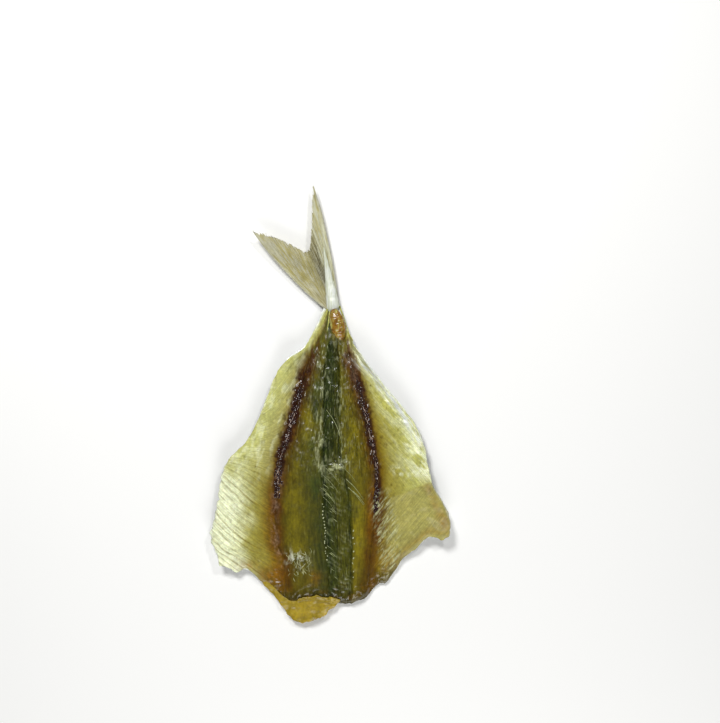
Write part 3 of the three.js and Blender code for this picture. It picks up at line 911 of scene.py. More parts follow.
class FleshKinds:
    """How much of each kind of flesh there is at every point of the trunk, for its colours."""

    def __init__(self, trunk, x, y, zone):
        self.trunk, self.x, self.y, self.zone = trunk, x, y, zone
        self.left, self.right = zone["left"], ~zone["left"]
        self.flap, self.off, self.side_gap = zone["flap"], zone["off"], zone["side_gap"]
        self.soft = noise(x, y, 5.0, 73)
        self.fine = noise(x, y, 1.3, 74)
        self.streak = noise(x, y / 6, 0.8, 83)
        self.fan = trunk.fan(x, y)
        self.fibres = trunk.strand_noise(x, y)
        self.low = 1 - smooth(34, 50, y)
        self.tip = self.right * smooth(24, 30, x) * (1 - smooth(40, 48, y))
        # Darker along the neck cut: the cut's dried flesh, with painted shadow along its edge.
        neck = 1 - smooth(1.5, 8.0, zone["neck_gap"] + 2.2 * self.fine)
        self.low_neck = neck * (1 - smooth(0.2, 0.5, self.flap))
        self.upper = window(46, 92, 5, y) * (1 - smooth(-0.6, 0.8, self.off)) * (0.55 + 0.45 * self.right)
        self.walls = bell(zone["from_left"] + 0.8, 2.6) + bell(zone["from_right"] + 0.2, 1.6)
        self.edge_shreds = smooth(-0.1, 0.35, noise(1.6 * self.side_gap, y / 6, 0.8, 94))

    def patch(self, at_x, at_y, wide, high, tilt=0.0):
        """A soft oval round a place, 1 in its middle."""
        turn = (self.x - at_x) + tilt * (self.y - at_y)
        return np.exp(-((turn / wide) ** 2) - ((self.y - at_y) / high) ** 2)

    def patches(self, *rows):
        """The sum of soft ovals, each given as its strength, x, y, width, height and, if any, tilt."""
        return sum(strength * self.patch(*place) for strength, *place in rows)

    def gold(self):
        thin = self.patches(
            (0.65, 9.2, 24, 2.0, 11), (0.8, -9.2, 64, 2.0, 8), (0.5, 6.4, 57, 1.8, 9),
            (0.35, -13, 28, 3.5, 14), (0.7, 38.5, 30, 3.5, 6))
        return 0.35 * self.right + thin + 0.25 * self.soft + 0.6 * smooth(88, 96, self.y)

    def green(self):
        """Green flesh along both sides of the back groove, and the groove's floor."""
        x, y, zone = self.x, self.y, self.zone
        beside = self.left * bell(x - zone["left_ridge"] + 1.5, 4.6) * (1 - 0.5 * self.patch(-9, 64, 2.4, 7))
        beside = beside + 0.5 * self.right * bell(zone["from_right"] + 1.0, 1.6) * (y > 30)
        return beside * (0.7 + 0.35 * noise(x, y / 2, 2.4, 90)) + 0.55 * zone["gut"]

    def dark(self):
        """Dark groove floor, painted shade at the foot of its walls and in the torn gaps, the pockets beside
        it, and painted shadow beside it and round the tail bone.
        """
        x, y, zone = self.x, self.y, self.zone
        # painted shade at the foot of the groove's walls
        foot = bell(zone["from_left"] - 0.9, 1.1) + 0.9 * bell(zone["from_right"] - 0.5, 0.9)
        upper = smooth(46, 56, y)
        groove = zone["gut"] * (0.95 * upper + (1 - upper) * np.clip(0.5 + 0.6 * foot, 0, 1))
        # painted shadow on the inner left loin beside the groove
        shadow = self.left * smooth(-7.5, -1.5, x - zone["left_ridge"] + 1.6 * self.soft)
        shadow = shadow * window(2, 44, 6, y) * (0.75 + 0.35 * self.streak)
        pocket = smooth(0.1, 0.55, noise(x, y / 3.2, 1.5, 93))
        pocket = pocket * np.clip(self.walls + 0.45 * self.upper, 0, 1) * window(30, 94, 4, y)
        # painted shade in the gaps between the torn shreds
        gaps = self.patch(-13.4, 14.2, 4.4, 3.4) * smooth(0.05, -0.3, noise(x, y / 1.6, 0.8, 86))
        dark = np.maximum(groove, np.maximum(0.75 * pocket, 0.85 * shadow)) + 0.5 * gaps
        # painted shadow round the foot of the tail bone
        stalk = self.patches((0.9, -1.2, 98.5, 0.9, 5), (0.6, 1.6, 92.0, 1.8, 1.6))
        return dark * (1 - 0.35 * smooth(0.2, 0.8, self.streak)) + stalk

    def cream(self):
        """Pale fat: all over the low left flap, in streaks and milky clouds on the rest."""
        x, y, flap, left, right = self.x, self.y, self.flap, self.left, self.right
        fat = left * smooth(0.3, 0.8, flap + 0.1 * self.soft)
        cream = fat * (1 - smooth(38, 50, y + 5 * self.soft - 8 * (flap - 0.8)))
        pearl = smooth(0.1, 0.7, noise(x + 0.8 * y, (x - 0.8 * y) / 5, 1.5, 87) + 0.5 * flap)
        cream = cream + 0.5 * right * pearl * smooth(0.2, 0.85, flap) * window(44, 90, 4, y)
        milk = smooth(0.0, 0.7, noise(x - 0.3 * y, y / 3.2, 1.5, 95) + 0.3 * self.soft)
        cream = cream + (0.1 + 0.32 * milk) * left * smooth(0.05, 0.35, flap) * window(44, 92, 5, y)
        cream = cream + 0.7 * self.patch(23.5, 46.0, 2.6, 1.8, 0.6) * smooth(-0.2, 0.4, self.fine)
        ragged = smooth(-0.5, 0.4, noise(x + y, (x - y) / 4, 1.2, 98))
        cream = cream + 0.9 * self.patch(32, 49.5, 4.5, 6.0, 0.5) * ragged
        cream = cream + 0.7 * (1 - smooth(0.25, 0.7, self.side_gap)) * right * window(24, 44, 3, y)
        cream = cream + 0.06 * left * smooth(88, 96, y)
        edge = right * (1 - smooth(1.2, 5.0, self.side_gap + self.soft)) * window(58, 91, 3, y)
        return cream + 0.65 * edge * (0.5 + 0.5 * self.edge_shreds)

    def stain(self):
        """Brown oil that spread from the dark muscle and into the fan of strands."""
        y, off, left, right = self.y, self.off, self.left, self.right
        inner = bell(np.minimum(off + 1.0, 0), np.where(left, 2.8, 2.6) - 0.6 * self.low * left)
        outer = bell(np.maximum(off - 0.8, 0), 1.9 + 0.9 * self.low * left)
        stain = inner * outer * window(4, 87, 4, y) * (0.9 + 0.25 * self.soft)
        right_end = right * bell(off + 0.3, 2.2) * window(76, 97, 5, y) * smooth(-0.6, 0.4, self.streak)
        left_end = left * bell(off + 0.4, 2.4) * window(79, 98, 5, y) * smooth(-0.5, 0.5, self.streak)
        stain = stain + 0.85 * right_end + 0.75 * left_end
        between_strands = 0.3 + 0.5 * smooth(0.1, -0.3, self.fibres)
        return stain + self.fan * between_strands * (1 - smooth(2.5, 9, off))

    def crust(self):
        """The dark muscle itself, broken up along its edges."""
        reach = self.trunk.band_reach(self.left, self.y)
        strength = self.trunk.band_strength(self.left, self.y)
        core = bell(self.off, reach * 1.15) + 0.3 * self.fine + 0.2 * self.streak
        return smooth(0.15, 0.85, core) * smooth(0.15, 0.6, strength + 0.12 * self.soft)

    def mauve(self):
        """The faded upper ends of both bands."""
        ends = self.left * window(78, 93, 5, self.y) + self.right * window(75, 95, 5, self.y)
        return bell(self.off + 0.5, 2.3) * ends * smooth(-0.7, 0.3, self.streak)

    def pale_band_streak(self):
        """Pale greyish streaks on the ends of the bands."""
        y = self.y
        ends = np.where(self.left, window(12, 46, 4, y), 0.45 * window(74, 90, 5, y))
        film = bell(self.off - 0.1, self.trunk.band_reach(self.left, y) * 1.1) * ends
        return 0.75 * film * smooth(-0.35, 0.45, noise(self.x, y / 2, 0.9, 84))

    def amber(self):
        """Oily orange patches near the neck, along the left band and inside the right flap's edge."""
        x, y, zone = self.x, self.y, self.zone
        amber = self.patches(
            (0.8, -23.0, 9.0, 4.2, 3.4), (0.6, -31, 13.0, 4.0, 1.8), (0.5, -6.5, 8.8, 2.6, 2.4),
            (0.3, 39.0, 29.5, 2.6, 4.0, -0.2), (0.55, 13.2, 30, 1.8, 9))
        amber = amber + 0.3 * self.right * self.patch(20, 14, 5, 4)
        beside = self.left * self.low * bell(self.off - 1.8, 2.8) * window(8, 46, 5, y)
        amber = amber + 0.42 * beside * (0.8 + 0.4 * self.streak)
        edge = np.minimum(self.side_gap, zone["neck_gap"]) + self.soft
        low_edge = self.right * smooth(20, 28, x) * (1 - smooth(40, 46, y))
        amber = amber + 0.42 * bell(edge - 2.0, 1.8) * low_edge
        specks = self.low_neck * smooth(0.1, 0.5, noise(x, y, 2.4, 96))
        return amber * (0.75 + 0.25 * self.fine) + 0.18 * specks

    def rim(self):
        """Silvery skin that shows along the edges: shredded on the right, thin on the rest."""
        y, gap = self.y, self.side_gap
        shreds = self.right * window(56, 85, 3, y) * (1 - smooth(1.8, 4.8, gap + 0.6 * self.soft))
        stalk = smooth(94, 99, y) * (bell(gap - 0.2, 0.55) + 0.9 * smooth(102, 104, y))
        lip = (1 - smooth(0.05, 0.55, gap)) * (y < 92)
        return shreds * (0.08 + 0.9 * self.edge_shreds), 0.36 * lip + stalk

    def torn(self):
        """Wet shreds low on the left loin, painted pale and silver as their glints."""
        return self.patch(-13.4, 15.0, 3.0, 2.6) * smooth(0.2, 0.6, noise(self.x, self.y / 2, 0.8, 86))

    def sinew(self):
        """Pale sinews along the groove's ridges with painted glints on and beside them, a pale web, and
        strands that fan out with painted glints on them.
        """
        x, y, zone = self.x, self.y, self.zone
        # pale sinews along both ridges, broken into streaks that are partly painted glints
        left_row = bell(zone["from_left"] - 0.1, 0.55) * window(38, 88, 4, y)
        left_row = left_row * smooth(0.1, 0.5, noise(x, y / 2.5, 0.7, 89))
        right_row = bell(zone["from_right"] - 0.1, 0.5) * window(58, 86, 4, y)
        right_row = right_row * smooth(0.0, 0.6, self.streak)
        # painted glints on the groove's walls
        glint = smooth(0.3, 0.55, noise(x, y / 3.6, 0.6, 92))
        glint = glint * np.clip(self.walls, 0, 1) * window(46, 92, 4, y)
        # painted glints on the fanned strands
        fan_glint = self.fan * smooth(0.35, 0.6, noise(x - y, (x + y) / 3, 0.8, 99))
        fan_glint = fan_glint * (1 - smooth(3, 7, self.off))
        sinew = 0.6 * left_row + 0.45 * right_row + 0.7 * fan_glint + 0.55 * glint
        web = self.patch(0.5, 48.0, 4.4, 1.9) * smooth(-0.4, 0.5, noise(x / 3, y, 0.7, 85))
        return sinew + web + 0.8 * self.fan * smooth(0.26, 0.52, self.fibres)

    def shares(self):
        """Every share from 0 to 1, and the courses of the fibres and ribs in millimetres."""
        trunk, x, y, zone = self.trunk, self.x, self.y, self.zone
        crust, torn = self.crust(), self.torn()
        # the torn patch adds its pale shreds with their painted glints
        sinew = self.sinew() + torn
        shreds, edge = self.rim()
        # Where the flesh is mottled, and where thin painted glints run along its fibres.
        mottle_and_glint = 0.12 + 0.75 * self.upper + 0.6 * zone["gut"] + 0.25 * self.low_neck + 0.2 * crust
        mottle_and_glint = mottle_and_glint + 0.4 * self.fan
        wet = 0.15 + 0.8 * crust + 0.35 * zone["gut"] + 0.5 * sinew + 0.3 * shreds + 0.2 * self.low_neck
        shares = {
            "gold": self.gold(),
            "green": self.green(),
            "dark": self.dark(),
            "flap": self.flap + 0.05 * self.soft,
            "on_flap": smooth(-0.4, 1.2, self.off),
            "cream": self.cream(),
            "lining": zone["lining"],
            "stain": self.stain(),
            "amber": self.amber(),
            "band": crust + 0.3 * self.mauve(),
            "pale_band_streak": self.pale_band_streak(),
            "sinew": sinew + 0.2 * trunk.slants(x, y, zone),
            # the torn patch is painted silver here, as painted glints
            "rim": shreds + edge + 0.5 * torn,
            "matt": zone["lining"] + self.tip,
            "lines": trunk.rib_lines(x, y, zone),
            "neck": self.low_neck * (0.75 + 0.25 * smooth(-0.2, 0.4, self.fine)),
            "wet": (wet + 0.25 * mottle_and_glint + 0.5 * torn) * (1 - 0.8 * self.tip),
            "mottle_and_glint": mottle_and_glint,
        }
        shares = {name: np.clip(share, 0, 1) for name, share in shares.items()}
        shares["fibre_x"] = 14 * zone["to_band"] * np.where(self.left, -1, 1)
        shares["fibre_y"] = y
        shares["rib_x"] = 2.5 * trunk.rib_phase(x, y, zone)
        shares["rib_y"] = x
        return shares


# ---------------------------------------------------------------- pieces

class FISH_OT_flesh(Operator):
    """Builds the opened flesh: two loins, the back groove, the bands of dark muscle and the belly flaps"""

    bl_idname = "fish.flesh"
    bl_label = "Flesh"
    rows: IntProperty(name="Rows", description="Steps from neck to tail stalk", default=364)
    columns: IntProperty(name="Columns", description="Steps from edge to edge", default=228)
    step: IntProperty(name="Step", description="How much coarser the hidden side is", default=4)

    def execute(self, context):
        trunk = Trunk()
        along, across = np.meshgrid(
            np.linspace(0, 1, self.rows + 1), np.linspace(0, 1, self.columns + 1), indexing="ij")
        x, y = trunk.plan(along, across)
        zone = trunk.zones(x, y, along)
        floor = trunk.seat(along, across, y)
        top = trunk.point(x, y, floor + trunk.depth(x, y, zone))
        under = trunk.point(x, y, floor)[:: self.step, :: self.step]
        mesh = closed_sheet("flesh", top, under, self.step, shares=FleshKinds(trunk, x, y, zone).shares())
        link_piece("flesh", mesh, flesh_finish())
        return {"FINISHED"}


class FISH_OT_skin(Operator):
    """Builds the skin under the flesh, which shows at the edges and underneath"""

    bl_idname = "fish.skin"
    bl_label = "Skin"
    rows: IntProperty(name="Rows", description="Steps from neck to tail stalk", default=364)
    columns: IntProperty(name="Columns", description="Steps from edge to edge", default=120)
    step: IntProperty(name="Step", description="How much coarser the hidden side is", default=4)
    margin: length("Margin", "How far the skin stands out past the flesh", 0.06)

    def execute(self, context):
        trunk = Trunk()
        along, across = np.meshgrid(
            np.linspace(0, 1, self.rows + 1), np.linspace(0, 1, self.columns + 1), indexing="ij")
        kink = 0.8 * window(80, 87, 2, TRUNK_LENGTH * along) * (across < 0.5)
        x, y = trunk.plan(along, across, self.margin / MM + kink)
        low = trunk.lie(along, across, y)
        zone = trunk.zones(x, y, along)
        shares = {
            "dark": 1 - smooth(8, 26, np.abs(x)),
            "back": bell(x - zone["back"], 3.2),
            "rim": 1 - smooth(0.4, 1.6, np.minimum(zone["side_gap"], zone["neck_gap"])),
        }
        outer = trunk.point(x, y, low)
        inner = trunk.point(x, y, low + trunk.skin_thickness)[:: self.step, :: self.step]
        mesh = closed_sheet("skin", outer, inner, self.step, fine_up=False, shares=shares)
        link_piece("skin", mesh, skin_finish())
        return {"FINISHED"}


# ---------------------------------------------------------------- tail

FIN_LEAN = 29.5          # degrees from the fish's length to the middle of the fork
FIN_SPREAD = 39.5        # degrees between the lobes' tips
FIN_ROOT = (-0.4, 106.5)
FORK_REACH = 19.5        # from the root to the bottom of the fork
LEFT_REACH = 37.6        # from the root to the left lobe's tip
RIGHT_REACH = 41.4       # from the root to the right lobe's tip


def from_root(degrees, distance):
    angle = np.radians(90 + degrees)
    return FIN_ROOT[0] + distance * np.cos(angle), FIN_ROOT[1] + distance * np.sin(angle)


def fin_place(fan, along):
    """x, y and z in the tail fin. fan is 1 at the left lobe's edge and -1 at the right lobe's edge."""
    left = fan > 0
    lobe = np.where(left, LEFT_REACH, RIGHT_REACH)
    narrowing = np.where(left, 1.25, 2.6)
    bow = np.where(left, 0.9, 0.74)
    reach = FORK_REACH + (lobe - FORK_REACH) * np.abs(fan) ** narrowing
    start_x, start_y = FIN_ROOT[0] - 1.6 * fan, FIN_ROOT[1] - 3.4
    bow_x, bow_y = from_root(FIN_LEAN + fan * FIN_SPREAD * bow, reach / 2)
    tip_x, tip_y = from_root(FIN_LEAN + fan * FIN_SPREAD / 2, reach)
    a, b, c = (1 - along) ** 2, 2 * along * (1 - along), along**2
    x, y = a * start_x + b * bow_x + c * tip_x, a * start_y + b * bow_y + c * tip_y
    lift = 2.0 + 2.5 * along**1.3 + 0.5 * np.sin(fan * 4 + along * 3) * along
    return x, y, lift


class FISH_OT_tail_fin(Operator):
    """Builds the forked tail fin: a thin crinkled membrane with branching rays"""

    bl_idname = "fish.tail_fin"
    bl_label = "Tail fin"
    rays: IntProperty(name="Rays", description="Main rays across the fin", default=23)

    def execute(self, context):
        trunk = Trunk()
        fan, along = np.meshgrid(np.linspace(1, -1, 241), np.linspace(0, 1, 121), indexing="xy")
        worn = 0.05 * np.clip(noise(fan * 40, 0 * fan, 1.6, 91), 0, 1) + 0.03 * np.abs(np.sin(fan * 70))
        x, y, z = fin_place(fan, along * (1 - worn))
        z = z + self.pleat(fan, along) + 0.14 * noise(fan * 20, along * 8, 2.2, 97) * along
        half = 0.5 * np.interp(along, [0, 0.12, 0.5, 1], [1.7, 0.6, 0.22, 0.12])
        bright = 0.8 * window(-1.1, -0.55, 0.12, fan) + 0.25 * window(0.9, 1.1, 0.04, fan)
        right_root = (1 - smooth(0.1, 0.3, along)) * (1 - smooth(-0.2, 0.35, fan))
        folded = window(-0.6, -0.12, 0.1, fan) * smooth(0.12, 0.3, along)
        folded = folded + 0.5 * (fan > -0.3) * (1 - smooth(0.1, 0.4, along))
        right_lobe = window(-1.1, -0.5, 0.1, fan) * smooth(0.1, 0.3, along)
        shares = {
            "root": 0.8 * right_root + 0.8 * bright * (1 - 0.6 * smooth(0.4, 1.0, along)),
            "folded": folded * (1 - 0.35 * smooth(0.6, 1, along)) + 0.2 * right_lobe,
            "solid": 0.98 - 0.25 * smooth(0.12, 0.7, along) + 0.3 * bright + 0.25 * folded,
        }
        shares = {name: np.clip(value, 0, 1) for name, value in shares.items()}
        shares |= {"fan_x": fan * 9, "fan_y": along * 36}
        top, under = trunk.point(x, y, z + half), trunk.point(x, y, z - half)
        mesh = closed_sheet("fin_membrane", top, under[::4, ::4], 4, shares=shares)
        link_piece("fin_membrane", mesh, membrane_finish())
        self.make_rays()
        return {"FINISHED"}

    def pleat(self, fan, along):
        """The folds of the membrane between its rays, deepest where the lobes meet."""
        deep = 0.12 + 0.2 * window(-0.62, -0.1, 0.12, fan)
        return deep * np.cos(np.pi * self.rays * fan) * smooth(0.05, 0.4, along)

    def make_rays(self):
        """Each main ray splits twice on its way out, and short rays stiffen both sides of the root."""
        lines, radii = [], []
        thick = Trunk().ray_thickness
        gap = 2 / (self.rays - 1)
        for place in np.linspace(0.985, -0.985, self.rays):
            for split, first, last in ((0.0, 0.0, 1.0), (0.3, 0.34, 0.99), (-0.3, 0.42, 0.985)):
                at = np.linspace(first, last, 34)
                fan = place + split * gap * smooth(first, 1.0, at)
                x, y, z = fin_place(np.clip(fan, -1, 1), at)
                lines.append(np.stack([x, y, z + self.pleat(fan, at)], 1))
                strong = 1.04 if abs(place) > 0.9 else (0.68 if place < -0.1 or place > 0.7 else 0.36)
                strong = strong * (1 if split == 0 else 0.7)
                radii.append(thick * strong * np.interp(at, [0, 0.15, 1], [1.0, 0.8, 0.22]))
        for side in (-1, 1):
            for k in range(4):
                at = np.linspace(0, 0.14 + 0.1 * k, 16)
                x, y, z = fin_place(np.full(16, float(side)), at)
                off = side * (-0.5 + 0.13 * k)
                lines.append(np.stack([x + off, y, z], 1))
                radii.append(thick * np.linspace(0.9, 0.2, 16) / 1.4)
        finish = plain_finish("fin_ray", colours().ray, 0.8, rough=(0.25, 0.4), contrast=(0.7, 1.15),
                              Coat_Weight=0.4, Coat_Roughness=0.15)
        sweep("fin_rays", lines, radii, 6, finish)


class FISH_OT_tail_stalk(Operator):
    """Builds the silvery skin round the tail stalk and the amber stump of the backbone in it"""

    bl_idname = "fish.tail_stalk"
    bl_label = "Tail stalk"

    def execute(self, context):
        share = np.linspace(0, 1, 60)
        wrap = smooth_curve([(-0.2, 101.6, 2.5), (-0.4, 104.4, 3.2), (-0.8, 108, 3.2), (-1.6, 113, 3.2),
                             (-2.6, 119, 3.5), (-3.6, 125, 3.9)], 60)
        width = np.interp(share, [0, 0.04, 0.12, 0.3, 0.5, 0.75, 1], [0.5, 3.0, 4.4, 4.0, 2.8, 1.5, 0.3])
        height = np.interp(share, [0, 0.04, 0.12, 0.3, 0.6, 1], [0.3, 1.6, 2.2, 1.7, 0.7, 0.2])
        mesh = lofted("stalk_skin", wrap, width, height, lump=0.06, seed=3)
        link_piece("stalk_skin", mesh, silver_finish())
        bone = smooth_curve([(2.4, 92.2, 2.7), (1.9, 95.4, 3.5), (1.2, 98.4, 3.9), (0.5, 101.0, 4.0),
                             (0.0, 103.2, 3.7)], 60)
        swell = np.sin(np.pi * (share * 0.97 + 0.015)) ** 0.3
        width = swell * np.interp(share, [0, 0.4, 0.8, 1], [4.0, 5.4, 5.0, 4.0])
        mesh = lofted("tail_bone", bone, width, width * 0.6, lump=0.1, seed=5)
        link_piece("tail_bone", mesh, bone_finish())
        self.folds(Trunk())
        return {"FINISHED"}

    @staticmethod
    def folds(trunk):
        """Thin folds of skin that run from the root down both sides of the bone."""
        lines, radii = [], []
        for path, thick in (
            ([(-2.0, 104.6), (-2.6, 102.2), (-3.6, 99.6), (-5.2, 96.0)], (0.5, 0.34, 0.08)),
            ([(-1.2, 104.4), (-1.5, 101.8), (-1.9, 98.8), (-2.4, 95.4)], (0.4, 0.28, 0.08)),
            ([(1.9, 104.4), (3.0, 101.4), (4.1, 98.2), (5.4, 94.8)], (0.36, 0.26, 0.08)),
        ):
            lines.append(smooth_curve(path, 20))
            radii.append(np.interp(np.linspace(0, 1, 20), [0, 0.5, 1], thick))
        finish = plain_finish("stalk_fold", colours().flap_pale, 1.2, rough=(0.2, 0.34), contrast=(0.6, 1.2))
        sweep("stalk_folds", laid(trunk, lines), radii, 10, finish)


# ---------------------------------------------------------------- bones and strips on the flesh

STEP_WIDTH = 70          # a place on the flesh is found by steps scaled to about the trunk's
STEP_LENGTH = 110        # width and length

def on_flesh(trunk, x, y):
    """Height of the flesh's surface at places given by x and y."""
    along, across = np.full(np.shape(x), 0.5), np.full(np.shape(x), 0.5)
    for _ in range(14):
        found_x, found_y = trunk.plan(along, across)
        across = np.clip(across + (x - found_x) / STEP_WIDTH, 0, 1)
        along = np.clip(along + (y - found_y) / STEP_LENGTH, 0, 1)
    return trunk.seat(along, across, y) + trunk.depth(x, y, trunk.zones(x, y, along))


def laid(trunk, lines, above=0.0):
    """Flat lines of points laid on the flesh, or a little above it."""
    flat = np.vstack(lines)
    high = on_flesh(trunk, flat[:, 0], flat[:, 1]) + above
    ends = np.cumsum([len(line) for line in lines])[:-1]
    return np.split(np.column_stack([flat, high]), ends)


class FISH_OT_bones(Operator):
    """Builds the stumps of the ribs along the groove and the pale pin bones that lie on the flesh"""

    bl_idname = "fish.bones"
    bl_label = "Bones"

    def execute(self, context):
        trunk = Trunk()
        rng = np.random.default_rng(7)
        pale = plain_finish("pale_bone", colours().sinew, 0.7, rough=(0.2, 0.35), contrast=(0.7, 1.1),
                            Coat_Weight=0.5, Coat_Roughness=0.12)
        self.stumps(trunk, rng, pale)
        dull = plain_finish("dull_sinew", colours().dull, 0.7, rough=(0.16, 0.3), contrast=(0.7, 1.2))
        self.pins(trunk, rng, dull)
        return {"FINISHED"}

    @staticmethod
    def stumps(trunk, rng, pale):
        """Two dotted rows of rib stumps along the sides of the back groove."""
        rows = []
        for line, low, high, gap in ((LEFT_RIDGE, 15, 35, 1.15), (RIGHT_RIDGE, 9, 27, 2.3)):
            y = np.arange(low, high, gap)
            y = y + rng.uniform(-0.35, 0.35, len(y))
            rows.append(np.stack([line_x(line, y) + rng.uniform(-0.2, 0.5, len(y)), y], 1))
        points = np.vstack(laid(trunk, rows, above=0.02))
        count = len(points)
        turns = np.column_stack([rng.uniform(-0.3, 0.3, (count, 2)), rng.uniform(-0.9, 0.9, count)])
        spans = np.column_stack([rng.uniform(0.16, 0.26, count), rng.uniform(0.2, 0.42, count),
                                 rng.uniform(0.14, 0.22, count)])
        set_out("rib_stumps", points, turns, spans, pale, lump_tree("rib_stumps", 1.0))

    @staticmethod
    def pins(trunk, rng, dull):
        """Fine bones and sinews: a long curved one, slanting ones in the groove, loose bits at the neck."""
        paths = [[(-2.6, 67.7), (-0.4, 64.6), (1.4, 61.0), (2.6, 57.2), (3.4, 53.4)]]
        for _ in range(16):
            y = rng.uniform(8, 46)
            x = line_x(LEFT_RIDGE, y) + rng.uniform(0.2, 3.6)
            reach = rng.uniform(0.9, 2.6)
            paths.append([(x, y), (x + 0.5 * reach, y - 0.36 * reach), (x + reach, y - 0.8 * reach)])
        for x, y, reach in ((-4.0, 45.0, 6.0), (-4.6, 40.6, 5.0), (4.2, 43.6, 6.2), (5.0, 40.6, 5.4),
                            (3.8, 47.0, 4.0), (-3.8, 37.2, 3.6), (6.6, 39.4, 4.2), (-3.2, 47.6, 5.2)):
            paths.append([(x, y), (x + 0.5 * reach, y - 0.48 * reach), (x + reach, y - 1.16 * reach)])
        for _ in range(16):
            x, y = rng.uniform(-15, -8), rng.uniform(9, 18)
            angle = rng.uniform(-1.2, 1.9)
            paths.append([(x, y), (x + 0.9 * np.cos(angle), y + 0.9 * np.sin(angle)),
                          (x + 1.9 * np.cos(angle + 0.3), y + 1.9 * np.sin(angle + 0.3))])
        lines = laid(trunk, [smooth_curve(path, 18) for path in paths], above=0.06)
        taper = np.interp(np.linspace(0, 1, 18), [0, 0.3, 1], [0.09, 0.12, 0.04])
        radii = [rng.uniform(0.5, 1) * taper for _ in paths]
        sweep("pin_bones", lines, radii, 5, dull)


class FISH_OT_muscle_crust(Operator):
    """Builds the glossy lumps of dark muscle that stand up along both bands, and pale threads on them whose
    colour is painted highlight
    """

    bl_idname = "fish.muscle_crust"
    bl_label = "Muscle crust"
    lumps: IntProperty(name="Lumps", description="Lumps along each band", default=150)
    threads: IntProperty(name="Threads", description="Pale threads along each band", default=88)

    def execute(self, context):
        dark = plain_finish("muscle_crust", colours().crust, 0.9, rough=(0.1, 0.22), relief=0.04,
                            contrast=(0.5, 1.5), Coat_Weight=0.4, Coat_Roughness=0.06)
        self.lay("muscle_crust", self.lumps, 0.42, ((37, 77), (32, 78)),
                 ((0.4, 0.9), (1.0, 2.4), (0.4, 0.7)), 12, dark)
        # pale threads along the band's ridge: their colour is painted highlight for its glints
        pale = plain_finish("muscle_glint_thread", colours().thread, 0.7, rough=(0.1, 0.2), relief=0.03,
                            contrast=(0.6, 1.2), Coat_Weight=0.5, Coat_Roughness=0.06)
        self.lay("muscle_glint_threads", self.threads, 0.16, ((37, 67), (38, 70)),
                 ((0.16, 0.34), (0.7, 2.0), (0.32, 0.52)), 14, pale)
        return {"FINISHED"}

    @staticmethod
    def lay(name, count, scatter, spread, reach, seed, finish):
        """Lays lumps along both bands. scatter is how far they stray, spread where they begin and end on
        the left and right band, and reach their least and most width, length and height."""
        trunk = Trunk()
        rng = np.random.default_rng(seed)
        points, forward = [], []
        for line, stray, (first, last) in ((LEFT_BAND, 1.35, spread[0]), (RIGHT_BAND, 0.9, spread[1])):
            y = rng.uniform(first, last, count)
            x = line_x(line, y) + stray * rng.normal(0, scatter, count)
            slope = line_x(line, y + 1) - line_x(line, y) + rng.normal(0, 0.1, count)
            points.append(np.column_stack([x, y, on_flesh(trunk, x, y) - 0.1]))
            forward.append(np.column_stack([slope, 1 + 0 * y, 0 * y]))
        points, forward = np.vstack(points), np.vstack(forward)
        count = len(points)
        facing = np.column_stack([rng.normal(0, 0.25, count), rng.normal(0, 0.1, count), np.ones(count)])
        spans = np.column_stack([rng.uniform(low, high, count) for low, high in reach])
        turns = turns_from(facing, forward)
        set_out(name, points, turns, spans, finish, lump_tree(name, 0.5))


class FISH_OT_torn_shreds(Operator):
    """Builds the small wet shreds of lining left where it was pulled off the left loin"""

    bl_idname = "fish.torn_shreds"
    bl_label = "Torn shreds"
    shreds: IntProperty(name="Shreds", description="How many shreds lie on the loin", default=30)

    def execute(self, context):
        trunk = Trunk()
        rng = np.random.default_rng(15)
        lines, radii = [], []
        for _ in range(self.shreds):
            x, y = rng.normal(-12.4, 2.5), rng.normal(13.2, 2.2)
            turn = rng.normal(1.75, 0.6)
            reach = rng.uniform(0.8, 3.0)
            bend = rng.uniform(-0.5, 0.5)
            at = np.linspace(-0.5, 0.5, 7)
            px = x + reach * at * np.cos(turn) - bend * at**2 * np.sin(turn)
            py = y + reach * at * np.sin(turn) + bend * at**2 * np.cos(turn)
            lines.append(np.column_stack([px, py]))
            radii.append(rng.uniform(0.05, 0.16) * np.interp(at, [-0.5, 0, 0.5], [0.3, 1, 0.3]))
        lines = laid(trunk, lines, above=0.02)
        finish = plain_finish("wet_shred", colours().shred, 0.6, rough=(0.1, 0.2), contrast=(0.6, 1.2),
                              Coat_Weight=0.4, Coat_Roughness=0.08)
        sweep("torn_shreds", lines, radii, 6, finish)
        return {"FINISHED"}


